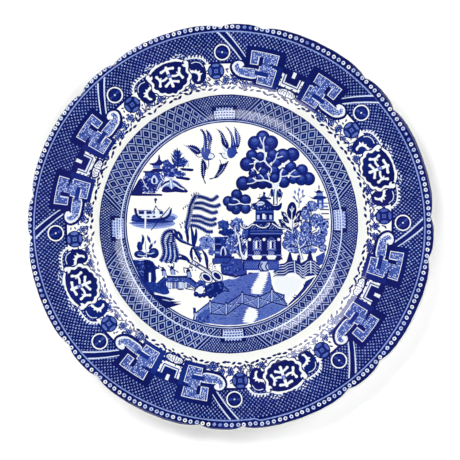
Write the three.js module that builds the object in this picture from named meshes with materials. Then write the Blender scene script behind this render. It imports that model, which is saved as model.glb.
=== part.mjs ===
// A dinner plate of glazed earthenware with a scalloped edge, fired in one piece.
// Units are millimetres. +Z is up, the origin is the centre of the foot ring's resting plane,
// and +Y points to the top of the picture that is printed in the well.
import * as THREE from "three";
import { mergeVertices } from "three/addons/utils/BufferGeometryUtils.js";

// Overall size
const PLATE_RADIUS = 127; // centre to the crest of a long lobe
const PLATE_HEIGHT = 24; // table to the top of the lip

// Face of the plate, from the lip inwards
const RIM_WIDTH = 40; // lip to shoulder, seen from above
const RIM_RISE = 6.4; // shoulder to lip
const CAVETTO_WIDTH = 18; // shoulder to floor, seen from above
const SHOULDER_ROUNDING = 6; // length of each leg of the rounded shoulder
const FLOOR_ROUNDING = 7; // length of each leg of the rounded foot of the cavetto

// Thicknesses
const LIP_THICKNESS = 3.4;
const WALL_THICKNESS = 4.2; // of the rim and cavetto at the shoulder
const FLOOR_THICKNESS = 4.6;

// Foot ring
const FOOT_DEPTH = 2.6; // resting plane to the underside of the floor
const FOOT_WIDTH = 3.6; // flat land that the plate rests on
const FOOT_OVERHANG = 2.5; // outer edge of that land, past the foot of the cavetto
const FOOT_CHAMFER = 0.7; // eased edges of the land
const FOOT_DRAFT = 0.8; // how much wider each wall of the ring gets over its height

// Scalloped edge: short lobes between long ones, meeting in notches
const LOBE_PAIRS = 8;
const SHORT_LOBE_DEG = 12; // angle that one short lobe takes
const LOBE_TURN_DEG = -3; // centre of the first short lobe, counted from +X
const NOTCH_DEPTH = 2.3;
const SHORT_LOBE_DROP = 0.3; // crest of a short lobe, below that of a long one
const SHORT_LOBE_SQUARENESS = 3.5; // higher is flatter in the middle and steeper at the notch
const LONG_LOBE_SQUARENESS = 6;
const SCALLOP_REACH = 12; // width of the rim that the scallop fades over

// Fineness of the facets
const CURVE_STEPS = 4; // on each rounded corner of the profile
const LIP_STEPS = 6;
const RIM_STEPS = 3; // straight stretches of the rim, which the scallop bends
const SHORT_LOBE_STEPS = 3; // columns on each half of a lobe
const LONG_LOBE_STEPS = 6;

const GLAZE_COLOUR = 0xf4f1e6;
const GLAZE_ROUGHNESS = 0.12;

const shoulderRadius = PLATE_RADIUS - RIM_WIDTH;
const floorRadius = shoulderRadius - CAVETTO_WIDTH;
const floorHeight = FOOT_DEPTH + FLOOR_THICKNESS;
const lipRadius = LIP_THICKNESS / 2;
const degrees = THREE.MathUtils.degToRad;

// Point at a distance from one point towards another.
const towards = (from, to, distance) =>
  to.clone().sub(from).setLength(distance).add(from);

// Corner rounded by a curve whose legs have the given length.
function roundedCorner(before, corner, after, leg) {
  const start = towards(corner, before, leg);
  const end = towards(corner, after, leg);
  return new THREE.QuadraticBezierCurve(start, corner, end).getPoints(CURVE_STEPS);
}

// Unit normal of a stretch of the face, pointing into the clay and outwards.
function inwardNormal(from, to) {
  const along = to.clone().sub(from).normalize();
  return new THREE.Vector2(along.y, -along.x);
}

// Where the line through a point with the given direction reaches a radius.
const heightAt = (point, along, radius) =>
  point.y + ((radius - point.x) * along.y) / along.x;

// Half section of the plate, as (radius, height) points that start and end on the axis.
function plateProfile() {
  const lipCentre = new THREE.Vector2(PLATE_RADIUS - lipRadius, PLATE_HEIGHT - lipRadius);
  const centre = new THREE.Vector2(0, floorHeight);
  const floorEdge = new THREE.Vector2(floorRadius, floorHeight);
  const shoulder = new THREE.Vector2(shoulderRadius, PLATE_HEIGHT - RIM_RISE);
  const lipTop = new THREE.Vector2(lipCentre.x, PLATE_HEIGHT);
  const lipUnder = new THREE.Vector2(lipCentre.x, PLATE_HEIGHT - LIP_THICKNESS);

  // The underside of the shoulder is mitred between the undersides of cavetto and rim.
  const cavettoNormal = inwardNormal(floorEdge, shoulder);
  const rimNormal = inwardNormal(shoulder, lipTop);
  const mitre = cavettoNormal.clone().add(rimNormal);
  mitre.multiplyScalar(WALL_THICKNESS / (1 + cavettoNormal.dot(rimNormal)));
  const shoulderUnder = shoulder.clone().add(mitre);

  const footOuter = floorRadius + FOOT_OVERHANG;
  const footInner = footOuter - FOOT_WIDTH;
  const cavettoAlong = shoulder.clone().sub(floorEdge);
  const footTopRadius = footOuter + FOOT_CHAMFER + FOOT_DRAFT;
  const footTop = new THREE.Vector2(
    footTopRadius,
    heightAt(shoulderUnder, cavettoAlong, footTopRadius),
  );
  const footBottom = new THREE.Vector2(footOuter + FOOT_CHAMFER, FOOT_CHAMFER);

  const points = [centre];
  points.push(...roundedCorner(centre, floorEdge, shoulder, FLOOR_ROUNDING));
  points.push(...roundedCorner(floorEdge, shoulder, lipTop, SHOULDER_ROUNDING));
  const rimStart = points.at(-1);
  for (let i = 1; i < RIM_STEPS; i++) {
    points.push(rimStart.clone().lerp(lipTop, i / RIM_STEPS));
  }
  for (let i = 0; i <= LIP_STEPS; i++) {
    const turn = Math.PI * (0.5 - i / LIP_STEPS);
    points.push(new THREE.Vector2(Math.cos(turn), Math.sin(turn)).multiplyScalar(lipRadius).add(lipCentre));
  }
  for (let i = 1; i < RIM_STEPS; i++) {
    points.push(lipUnder.clone().lerp(shoulderUnder, i / RIM_STEPS));
  }
  points.push(shoulderUnder, footTop, footBottom);
  points.push(new THREE.Vector2(footOuter, 0), new THREE.Vector2(footInner, 0));
  points.push(new THREE.Vector2(footInner - FOOT_CHAMFER, FOOT_CHAMFER));
  points.push(new THREE.Vector2(footInner - FOOT_CHAMFER - FOOT_DRAFT, FOOT_DEPTH));
  points.push(new THREE.Vector2(0, FOOT_DEPTH));
  return points.reverse(); // upwards round the outside, so that the faces point out
}

const shortHalf = SHORT_LOBE_DEG / 2;
const longHalf = (360 / LOBE_PAIRS - SHORT_LOBE_DEG) / 2;

// How far the edge lies inside the plate's radius, at an angle from a short lobe's centre.
function scallopAt(angle) {
  const pitch = 360 / LOBE_PAIRS;
  const fromShort = Math.abs(angle - pitch * Math.round(angle / pitch));
  if (fromShort <= shortHalf) {
    const fall = NOTCH_DEPTH - SHORT_LOBE_DROP;
    return SHORT_LOBE_DROP + fall * (fromShort / shortHalf) ** SHORT_LOBE_SQUARENESS;
  }
  return NOTCH_DEPTH * ((pitch / 2 - fromShort) / longHalf) ** LONG_LOBE_SQUARENESS;
}

// Angles of the columns of facets, which crowd towards the notches.
function columnAngles() {
  const angles = [];
  const addLobe = (centre, half, steps) => {
    for (let i = -steps; i < steps; i++) {
      angles.push(centre + half * Math.sin((Math.PI / 2) * (i / steps)));
    }
  };
  for (let pair = 0; pair < LOBE_PAIRS; pair++) {
    const centre = (pair * 360) / LOBE_PAIRS;
    addLobe(centre, shortHalf, SHORT_LOBE_STEPS);
    addLobe(centre + shortHalf + longHalf, longHalf, LONG_LOBE_STEPS);
  }
  return angles;
}

// The profile turned round the axis, with its columns moved to the lobes and its edge scalloped.
function plateGeometry() {
  const profile = plateProfile();
  const angles = columnAngles();
  const turned = new THREE.LatheGeometry(profile, angles.length);
  const position = turned.getAttribute("position");
  for (let i = 0; i < position.count; i++) {
    const column = Math.floor(i / profile.length) % angles.length;
    const { x: radius, y: height } = profile[i % profile.length];
    const angle = angles[column];
    const reach = THREE.MathUtils.smoothstep(radius, PLATE_RADIUS - SCALLOP_REACH, PLATE_RADIUS);
    const scalloped = radius - scallopAt(angle) * reach;
    const turn = degrees(angle + LOBE_TURN_DEG);
    position.setXYZ(i, scalloped * Math.cos(turn), scalloped * Math.sin(turn), height);
  }
  turned.deleteAttribute("normal");
  turned.deleteAttribute("uv");
  const merged = mergeVertices(turned);
  merged.computeVertexNormals();
  return merged;
}

const glaze = new THREE.MeshStandardMaterial({
  color: GLAZE_COLOUR,
  roughness: GLAZE_ROUGHNESS,
  metalness: 0,
});

const plate = new THREE.Mesh(plateGeometry(), glaze);
plate.name = "plate";

const group = new THREE.Group();
group.add(plate);

export default group;
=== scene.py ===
"""A blue-printed dinner plate with a scalloped edge, on a pale table, seen from straight above."""
import math
import random

import bpy
import numpy as np
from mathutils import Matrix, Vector
from mathutils.geometry import delaunay_2d_cdt


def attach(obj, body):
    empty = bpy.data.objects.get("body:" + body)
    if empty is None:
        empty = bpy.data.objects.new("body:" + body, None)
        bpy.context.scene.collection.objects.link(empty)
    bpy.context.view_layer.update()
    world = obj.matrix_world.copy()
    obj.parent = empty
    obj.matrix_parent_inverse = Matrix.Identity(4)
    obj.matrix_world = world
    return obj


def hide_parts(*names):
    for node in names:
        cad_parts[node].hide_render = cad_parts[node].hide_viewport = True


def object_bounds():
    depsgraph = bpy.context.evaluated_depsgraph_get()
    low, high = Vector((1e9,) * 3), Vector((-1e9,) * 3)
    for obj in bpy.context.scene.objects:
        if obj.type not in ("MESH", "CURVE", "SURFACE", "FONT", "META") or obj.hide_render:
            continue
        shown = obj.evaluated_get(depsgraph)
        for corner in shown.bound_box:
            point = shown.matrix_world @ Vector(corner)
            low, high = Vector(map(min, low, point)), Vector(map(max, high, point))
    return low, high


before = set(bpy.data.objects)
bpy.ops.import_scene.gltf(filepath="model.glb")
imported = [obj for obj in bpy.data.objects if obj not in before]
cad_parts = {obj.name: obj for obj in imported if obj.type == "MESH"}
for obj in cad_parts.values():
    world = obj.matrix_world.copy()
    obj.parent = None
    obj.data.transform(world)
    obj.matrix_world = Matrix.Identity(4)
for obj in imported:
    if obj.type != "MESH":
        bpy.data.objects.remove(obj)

MM = 0.001
cad_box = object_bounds()
rng = random.Random(7)

# ---------------------------------------------------------------- camera
VIEW_WIDTH = 0.2855
VIEW_CENTRE = (-0.00075, -0.00175)
CAMERA_HEIGHT = 1.6
SENSOR_WIDTH = 36.0
camera_data = bpy.data.cameras.new("camera")
camera_data.sensor_width = SENSOR_WIDTH
camera_data.lens = SENSOR_WIDTH * (CAMERA_HEIGHT - cad_box[1][2]) / VIEW_WIDTH
camera = bpy.data.objects.new("camera", camera_data)
camera.location = (*VIEW_CENTRE, CAMERA_HEIGHT)
bpy.context.scene.collection.objects.link(camera)
bpy.context.scene.camera = camera

# ---------------------------------------------------------------- form of the plate, in millimetres
PLATE_RADIUS, PLATE_HEIGHT = 127.0, 24.0
RIM_WIDTH, RIM_RISE, CAVETTO_WIDTH = 40.0, 6.4, 18.0
SHOULDER_ROUNDING, FLOOR_ROUNDING = 6.0, 7.0
LIP_THICKNESS, WALL_THICKNESS, FLOOR_THICKNESS = 3.4, 4.2, 4.6
FOOT_DEPTH, FOOT_WIDTH, FOOT_OVERHANG, FOOT_CHAMFER, FOOT_DRAFT = 2.6, 3.6, 2.5, 0.7, 0.8
UNDERSIDE_ROUNDING, FOOT_JOINT_ROUNDING, LAND_ROUNDING, RECESS_ROUNDING = 5.0, 0.8, 0.5, 0.7
LOBE_PAIRS, SHORT_LOBE, LOBE_TURN = 8, 12.0, -3.0
NOTCH_DEPTH, SHORT_DROP, SHORT_POWER, LONG_POWER, SCALLOP_REACH = 2.3, 0.3, 3.5, 6.0, 12.0

SHOULDER = PLATE_RADIUS - RIM_WIDTH
FLOOR = SHOULDER - CAVETTO_WIDTH
LIP = LIP_THICKNESS / 2
LIP_CENTRE = np.array([PLATE_RADIUS - LIP, PLATE_HEIGHT - LIP])
PITCH = 360.0 / LOBE_PAIRS

# how finely the section is drawn
SETTLING_ROUNDS = 14
FACE_CORNER_STEPS, FACE_LIP_POINTS, BACK_LIP_POINTS = 16, 33, 7
UNDERSIDE_SHARES = (0.15, 0.35, 0.6)
RECESS_RINGS = (55, 40, 25, 12, 4)


def polar(r, degrees, cx=0.0, cy=0.0):
    """The point at a radius and an angle round a centre."""
    a = math.radians(degrees)
    return cx + r * math.cos(a), cy + r * math.sin(a)


def scallop(degrees):
    """How far the edge lies inside the plate's radius at each angle."""
    turned = np.asarray(degrees, float) - LOBE_TURN
    off = np.abs(turned - PITCH * np.round(turned / PITCH))
    short = SHORT_DROP + (NOTCH_DEPTH - SHORT_DROP) * (off / (SHORT_LOBE / 2)) ** SHORT_POWER
    half = (PITCH - SHORT_LOBE) / 2
    long = NOTCH_DEPTH * (np.abs(PITCH / 2 - off) / half) ** LONG_POWER
    return np.where(off <= SHORT_LOBE / 2, short, long)


def reach(radius):
    """Share of the scallop that is felt at a radius."""
    t = np.clip((radius - PLATE_RADIUS + SCALLOP_REACH) / SCALLOP_REACH, 0, 1)
    return t * t * (3 - 2 * t)


def round_radius(x, y):
    """The radius a point would have on the plate without its scallops."""
    r = np.hypot(x, y)
    cut = scallop(np.degrees(np.arctan2(y, x)))
    radius = r.copy()
    for _ in range(SETTLING_ROUNDS):
        radius = r + cut * reach(radius)
    return radius


def curve(a, b, c, steps):
    """Rounded corner as a curve from a by way of b to c, without its first point."""
    a, b, c = (np.array(p, float) for p in (a, b, c))
    return [(1 - t) ** 2 * a + 2 * t * (1 - t) * b + t * t * c for t in np.arange(1, steps + 1) / steps]


def corner(before, at, after, leg, steps):
    """Points of a rounded corner whose legs have the given length."""
    before, at, after = (np.array(p, float) for p in (before, at, after))
    start = at + (before - at) * leg / np.linalg.norm(before - at)
    end = at + (after - at) * leg / np.linalg.norm(after - at)
    return [start] + curve(start, at, end, steps)


def inward(a, b):
    """Unit normal of the line from a to b, on its right."""
    d = np.array(b, float) - np.array(a, float)
    d /= np.linalg.norm(d)
    return np.array([d[1], -d[0]])


def face_profile():
    """Section of the plate's face, from the centre to the widest line of the lip."""
    floor = FOOT_DEPTH + FLOOR_THICKNESS
    edge, shoulder = (FLOOR, floor), (SHOULDER, PLATE_HEIGHT - RIM_RISE)
    top = (LIP_CENTRE[0], PLATE_HEIGHT)
    points = [np.array([0.0, floor])]
    points += corner((0, floor), edge, shoulder, FLOOR_ROUNDING, FACE_CORNER_STEPS)
    points += corner(edge, shoulder, top, SHOULDER_ROUNDING, FACE_CORNER_STEPS)
    quarter = np.linspace(0, math.pi / 2, FACE_LIP_POINTS)
    points += [LIP_CENTRE + LIP * np.array([math.sin(t), math.cos(t)]) for t in quarter]
    return np.array(points)


def back_profile():
    """Section of the underside, from the widest line of the lip to the centre."""
    floor = FOOT_DEPTH + FLOOR_THICKNESS
    edge, shoulder = np.array([FLOOR, floor]), np.array([SHOULDER, PLATE_HEIGHT - RIM_RISE])
    top = np.array([LIP_CENTRE[0], PLATE_HEIGHT])
    n1, n2 = inward(edge, shoulder), inward(shoulder, top)
    under = shoulder + (n1 + n2) * WALL_THICKNESS / (1 + n1 @ n2)
    outer = FLOOR + FOOT_OVERHANG
    inner = outer - FOOT_WIDTH
    foot_top = outer + FOOT_CHAMFER + FOOT_DRAFT
    slope = (shoulder - edge)[1] / (shoulder - edge)[0]
    foot_joint = np.array([foot_top, under[1] + (foot_top - under[0]) * slope])
    lip_under = np.array([LIP_CENTRE[0], PLATE_HEIGHT - LIP_THICKNESS])
    bottom = np.array([outer + FOOT_CHAMFER, FOOT_CHAMFER])
    recess = np.array([inner - FOOT_CHAMFER - FOOT_DRAFT, FOOT_DEPTH])
    chamfered = (inner - FOOT_CHAMFER, FOOT_CHAMFER)
    quarter = np.linspace(0, math.pi / 2, BACK_LIP_POINTS)
    points = [LIP_CENTRE + LIP * np.array([math.cos(t), -math.sin(t)]) for t in quarter]
    points += [lip_under + (under - lip_under) * t for t in UNDERSIDE_SHARES]
    points += corner(lip_under, under, foot_joint, UNDERSIDE_ROUNDING, 5)
    points += corner(under, foot_joint, bottom, FOOT_JOINT_ROUNDING, 3)
    points += corner(foot_joint, bottom, (outer, 0), LAND_ROUNDING, 2)
    points += corner(bottom, (outer, 0), (inner, 0), LAND_ROUNDING, 2)
    points += corner((outer, 0), (inner, 0), chamfered, LAND_ROUNDING, 2)
    points += corner(chamfered, recess, (0, FOOT_DEPTH), RECESS_ROUNDING, 3)
    points += [np.array([r, FOOT_DEPTH]) for r in RECESS_RINGS]
    return np.array(points)


FACE = face_profile()


def height(radius):
    """Height of the face at an unscalloped radius."""
    on_lip = np.clip(radius - LIP_CENTRE[0], 0, LIP)
    return np.where(radius > LIP_CENTRE[0], LIP_CENTRE[1] + np.sqrt(LIP ** 2 - on_lip ** 2),
                    np.interp(radius, FACE[:, 0], FACE[:, 1]))


# ---------------------------------------------------------------- the print, painted in order, in millimetres
SHAPES = []  # (ink from 0 for bare glaze to 1 for the darkest blue, outline)
FINEST = 0.06  # half the width of the thinnest line
SLIM = 0.65  # a leaf narrower than this has four points


def paint(ink, outline):
    """Lays a flat area over what is printed so far."""
    SHAPES.append((ink, [(float(x), float(y)) for x, y in outline]))


def disc(ink, x, y, r, ry=None, turn=0.0, n=None):
    """A disc, or an oval turned by an angle, with n sides."""
    n = n or max(8, min(40, int(6 + r * 5)))
    c, s = math.cos(math.radians(turn)), math.sin(math.radians(turn))
    ring = [(r * math.cos(t), (ry or r) * math.sin(t)) for t in np.arange(n) * 2 * math.pi / n]
    paint(ink, [(x + u * c - v * s, y + u * s + v * c) for u, v in ring])


def smooth(points, steps=4, closed=False):
    """Points of a smooth line through the given ones."""
    p = [np.array(q, float) for q in points]
    n = len(p)
    out = []
    for i in range(n if closed else n - 1):
        if closed:
            a, b, c, d = p[i - 1], p[i], p[(i + 1) % n], p[(i + 2) % n]
        else:
            a, b, c, d = p[max(i - 1, 0)], p[i], p[i + 1], p[min(i + 2, n - 1)]
        for t in np.arange(steps) / steps:
            out.append(0.5 * (2 * b + (c - a) * t + (2 * a - 5 * b + 4 * c - d) * t * t
                              + (3 * b - a - 3 * c + d) * t ** 3))
    if not closed:
        out.append(p[-1])
    return out


def blob(ink, points, steps=3):
    """An area with a smooth outline through the given points."""
    paint(ink, smooth(points, steps, closed=True))


def stroke(ink, points, width, ends=(1.0, 1.0), steps=3, curved=True):
    """A line of the given width whose ends are that width times the two shares."""
    line = smooth(points, steps) if curved and len(points) > 2 else [np.array(q, float) for q in points]
    n = len(line)
    left, right = [], []
    for i, q in enumerate(line):
        d = line[min(i + 1, n - 1)] - line[max(i - 1, 0)]
        d = d / (np.linalg.norm(d) or 1.0)
        t = i / (n - 1)
        if ends[0] + ends[1] > 1.99:
            share = ends[0] * (1 - t) + ends[1] * t
        else:
            share = max(ends[0] * max(0, 1 - 2 * t), ends[1] * max(0, 2 * t - 1),
                        math.sin(math.pi * t) ** 0.7)
        w = max(width / 2 * share, FINEST)
        left.append(q + w * np.array([-d[1], d[0]]))
        right.append(q - w * np.array([-d[1], d[0]]))
    paint(ink, left + right[::-1])


def leaf(ink, x, y, length, width, turn):
    """A pointed oval."""
    c, s = math.cos(math.radians(turn)), math.sin(math.radians(turn))
    if width < SLIM:
        half = [(-0.5, 0), (-0.05, 0.56), (0.5, 0), (0.05, -0.56)]
    else:
        half = [(-0.5, 0), (-0.2, 0.42), (0.15, 0.5), (0.5, 0.05), (0.15, -0.5), (-0.2, -0.42)]
    paint(ink, [(x + u * length * c - v * width * s, y + u * length * s + v * width * c) for u, v in half])


def walked(points, pitch, closed=False):
    """Evenly spaced points along a smooth line, each with the direction of the line there."""
    line = np.array(smooth(points, 6, closed))
    if closed:
        line = np.vstack([line, line[:1]])
    gone = np.concatenate([[0], np.cumsum(np.linalg.norm(np.diff(line, axis=0), axis=1))])
    steps = max(2, int(gone[-1] / pitch))
    out = []
    for s in np.arange(steps) * gone[-1] / steps:
        here, ahead, behind = (np.array([np.interp(s + d, gone, line[:, k]) for k in (0, 1)]) for d in (0,
                0.1, -0.1))
        out.append((here, (ahead - behind) / (np.linalg.norm(ahead - behind) or 1.0)))
    return out


def serrated(ink, points, depth=0.32, pitch=0.62):
    """A shape with a feathered edge."""
    edge = walked(points, pitch, closed=True)
    paint(ink, [p + (depth if k % 2 else -depth) * np.array([-d[1], d[0]]) for k, (p, d) in enumerate(edge)])


def ring_line(ink, cx, cy, r):
    """A disc with many sides; the next one painted inside it leaves a ring."""
    n = 240
    paint(ink, [(cx + r * math.cos(t), cy + r * math.sin(t)) for t in np.arange(n) * 2 * math.pi / n])


# ---- rim
RIM_X, RIM_Y = -1.2, 0.9
EDGE_RINGS, EDGE_RING_RADIUS = 210, 123.75
# Angles at which the small rings near the edge are smudged, and how far each smudge reaches.
SMUDGES, SMUDGE_REACH = (84.5, 66.3, 27, 267, 200), 1.6
# How far the leaves of a motif reach on each side of its centre line.
HALF_MOTIF = 22.6
# The eight parts of the border, each 45 degrees in the pattern, as they came to lie round the rim.
LAID = [111.9, 66.6, 20.8, -25.2, -70.2, -112.2, -158, -203.3, -248.1]


def laid(t):
    """Real angle of a pattern angle. The pattern angle is 0 at the first cartouche and falls clockwise."""
    turns, t = divmod(-t, 360)
    i = min(int(t // 45), 7)
    return LAID[i] + (LAID[i + 1] - LAID[i]) * (t - 45 * i) / 45 - 360 * turns


def rim(t, r):
    """Place of a pattern angle and a radius on the rim."""
    return polar(r, laid(t), RIM_X, RIM_Y)


def at(base, side):
    """Maps (degrees, radius) round a motif's centre line to the plate; side -1 mirrors it."""
    return lambda t, r: rim(base + side * t, r)


def bent(place, points):
    """Outline in (degrees, radius), with long runs round the rim divided."""
    out = []
    for (t0, r0), (t1, r1) in zip(points, points[1:] + points[:1]):
        n = max(1, math.ceil(abs(t1 - t0) / 2))
        out += [place(t0 + (t1 - t0) * i / n, r0 + (r1 - r0) * i / n) for i in range(n)]
    return out


def traced(place, points):
    """Outline in (degrees, radius), laid on the plate."""
    return [place(*q) for q in points]


def patch(ink, place, points):
    """An area whose long sides follow the rim."""
    paint(ink, bent(place, points))


def both(ink, base, half, curved=True):
    """A shape that is the same on both sides of a motif's centre line, from one side's outline."""
    right = [rim(base + t, r) for t, r in half]
    left = [rim(base - t, r) for t, r in half if abs(t) > 1e-6]
    outline = right + left[::-1]
    (blob if curved else paint)(ink, outline)


def line_wobble(a):
    """Where the thin line near the edge leaves its circle."""
    return float(np.interp(a % 360, [0, 20, 40, 60, 90, 115, 140, 180, 230, 270, 278, 278.5, 300, 330, 360],
            [0.5, 0.2, -0.9, -0.5, -0.2, 0.3, 0.4, 0.3, 0, 0.1, -0.2, 1.3, 0.9, 0.6, 0.5]))


def wobbly(ink, r):
    """A disc whose outline strays like the thin line near the edge."""
    paint(ink, [polar(r + line_wobble(a), a, RIM_X, RIM_Y) for a in np.arange(0, 360, 1.5)])


def edge_border():
    """Dark margin, the row of small rings and the thin line inside it."""
    outline = []
    for a in np.arange(0, 360, 0.75):
        r = PLATE_RADIUS - float(scallop(a)) - 0.05
        bare = 0.3 + 0.6 * max(0, math.cos(math.radians(a + 50))) ** 0.7 + 0.12 * line_wobble(3 * a)
        outline.append(polar(r - bare, a))
    paint(1, outline)
    for i in range(EDGE_RINGS):
        a = 360.0 * i / EDGE_RINGS + rng.uniform(-0.12, 0.12)
        r = EDGE_RING_RADIUS + 0.6 * line_wobble(a) + rng.uniform(-0.12, 0.12)
        x, y = polar(r, a, RIM_X, RIM_Y)
        if min(abs((a - b + 180) % 360 - 180) for b in SMUDGES) < SMUDGE_REACH:
            disc(rng.uniform(0.25, 0.6), x, y, 1.25, 1, rng.uniform(0, 180), 9)
            disc(rng.uniform(0.1, 0.5), x + rng.uniform(-0.3, 0.3), y, 0.6, n=7)
            continue
        disc(rng.uniform(0.02, 0.22), x, y, 1.28, 1.18, rng.uniform(0, 180), 12)
        disc(rng.uniform(0.85, 1), x + rng.uniform(-0.12, 0.12), y + rng.uniform(-0.12, 0.12), 0.52, n=7)
    wobbly(0.34, 121.4)
    wobbly(1, 120.6)


def dotted(inner, outer, pitch, row, size):
    """Staggered light dots in rows round the rim."""
    for j in range(int((outer - inner) / row)):
        r = outer - row * (j + 0.5)
        for i in range(int(360 / pitch)):
            a = pitch * (i + 0.5 * (j % 2)) + rng.uniform(-0.08, 0.08)
            x, y = polar(r + rng.uniform(-0.1, 0.1), a, RIM_X, RIM_Y)
            s = size * rng.uniform(0.85, 1.15)
            disc(rng.uniform(0.26, 0.46), x, y, s * 1.15, s * 0.95, a, 5)


def coin(x, y, turn):
    """A round piece of money with a square hole."""
    disc(1, x, y, 5.25)
    disc(0.82, x, y, 4.55)
    for a in np.arange(4) * 90.0 + turn:
        u, v = polar(3.3, a, x, y)
        disc(0.98, u, v, 1.45, 2.9, a, 14)
        disc(0.55, *polar(0.25, a, u, v), 0.95, 2.3, a, 14)
    for half, ink in ((1.75, 0.97), (1.2, 0.55), (0.45, 0.85)):
        paint(ink, [polar(half * 1.414, turn + 45 + 90 * k, x, y) for k in range(4)])


def ringlet(x, y):
    """A white ring round a dark boss with fine rays."""
    disc(1, x, y, 5.5)
    disc(0.03, x, y, 5.1)
    disc(1, x, y, 4.3)
    disc(0.88, x, y, 2.9)
    lean = rng.uniform(0, 180)
    for k in range(7):
        a = lean + 9 * (k % 4) + 180 * (k // 4)
        stroke(0.62, [polar(0.9, a, x, y), polar(3.7, a, x, y)], 0.22)
    disc(0.98, x, y, 1.3, n=10)
    disc(0.15, x, y, 0.62, n=8)


def flower(x, y, size):
    """A small flower head: pale petals with dark outlines."""
    disc(0.9, x, y, 0.5 * size, n=8)
    petals = 6 if size > 2.1 else 5
    for k in range(petals):
        a = 2 * math.pi * k / petals + rng.uniform(-0.2, 0.2)
        u, v = x + 0.66 * size * math.cos(a), y + 0.66 * size * math.sin(a)
        disc(rng.uniform(0.82, 0.95), u, v, 0.46 * size, 0.36 * size, math.degrees(a), 8)
        disc(rng.uniform(0.2, 0.5), u, v, 0.25 * size, 0.15 * size, math.degrees(a), 6)
    disc(0.85, x, y, 0.3 * size, n=7)
    disc(0.3, x, y, 0.13 * size, n=5)


def fringe(base):
    """Leaves, stems and small flowers along the inner edge of the border."""
    for side in (1, -1):
        p = at(base, side)
        for t in np.arange(1, HALF_MOTIF, 2.55):
            tt, r = t + rng.uniform(-0.4, 0.4), 85.9 + rng.uniform(-0.8, 0.8)
            leaf(rng.uniform(0.92, 1), *p(tt, r), rng.uniform(3.2, 4.3), rng.uniform(1.3, 1.7),
                 laid(base + side * tt) + 90 + side * rng.uniform(-38, 32))
        for t in np.arange(1.8, HALF_MOTIF, 1.55):
            tt, r = t + rng.uniform(-0.4, 0.4), 88.4 + rng.uniform(-0.8, 0.9)
            leaf(rng.uniform(0.85, 1), *p(tt, r), rng.uniform(2.4, 3.5), rng.uniform(1, 1.4),
                 laid(base + side * tt) + rng.uniform(25, 155))
        for r0, step in ((91, 1.8), (93.4, 2.1), (95.8, 2.4), (98, 2.4)):
            for t in np.arange(1.5, HALF_MOTIF, step):
                tt, r = t + rng.uniform(-0.4, 0.4), r0 + rng.uniform(-0.9, 0.9)
                leaf(rng.choice((0.97, 0.92, 0.85, 0.65)), *p(tt, r), rng.uniform(1.9, 3.1),
                     rng.uniform(0.8, 1.25), laid(base + side * tt) + rng.uniform(0, 180))
        stroke(0.92, [p(t, 89.4 + 1.5 * math.sin(1.15 * t + base)) for t in np.arange(1, HALF_MOTIF, 0.9)],
               0.6, steps=1)
        for t in (3.4, 6.6, 9.6, 12.8, 16.2, 19.4):
            stroke(0.88, [p(t, 93.6), p(t + 0.5, 90.6), p(t + 1.9, 87.6)], 0.45)
        for t, r, size in ((6.9, 89.4, 2.3), (12, 90, 1.7), (20.7, 91.2, 2.4), (16.4, 89.4, 1.8)):
            flower(*p(t + rng.uniform(-0.4, 0.4), r), size)


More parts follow.
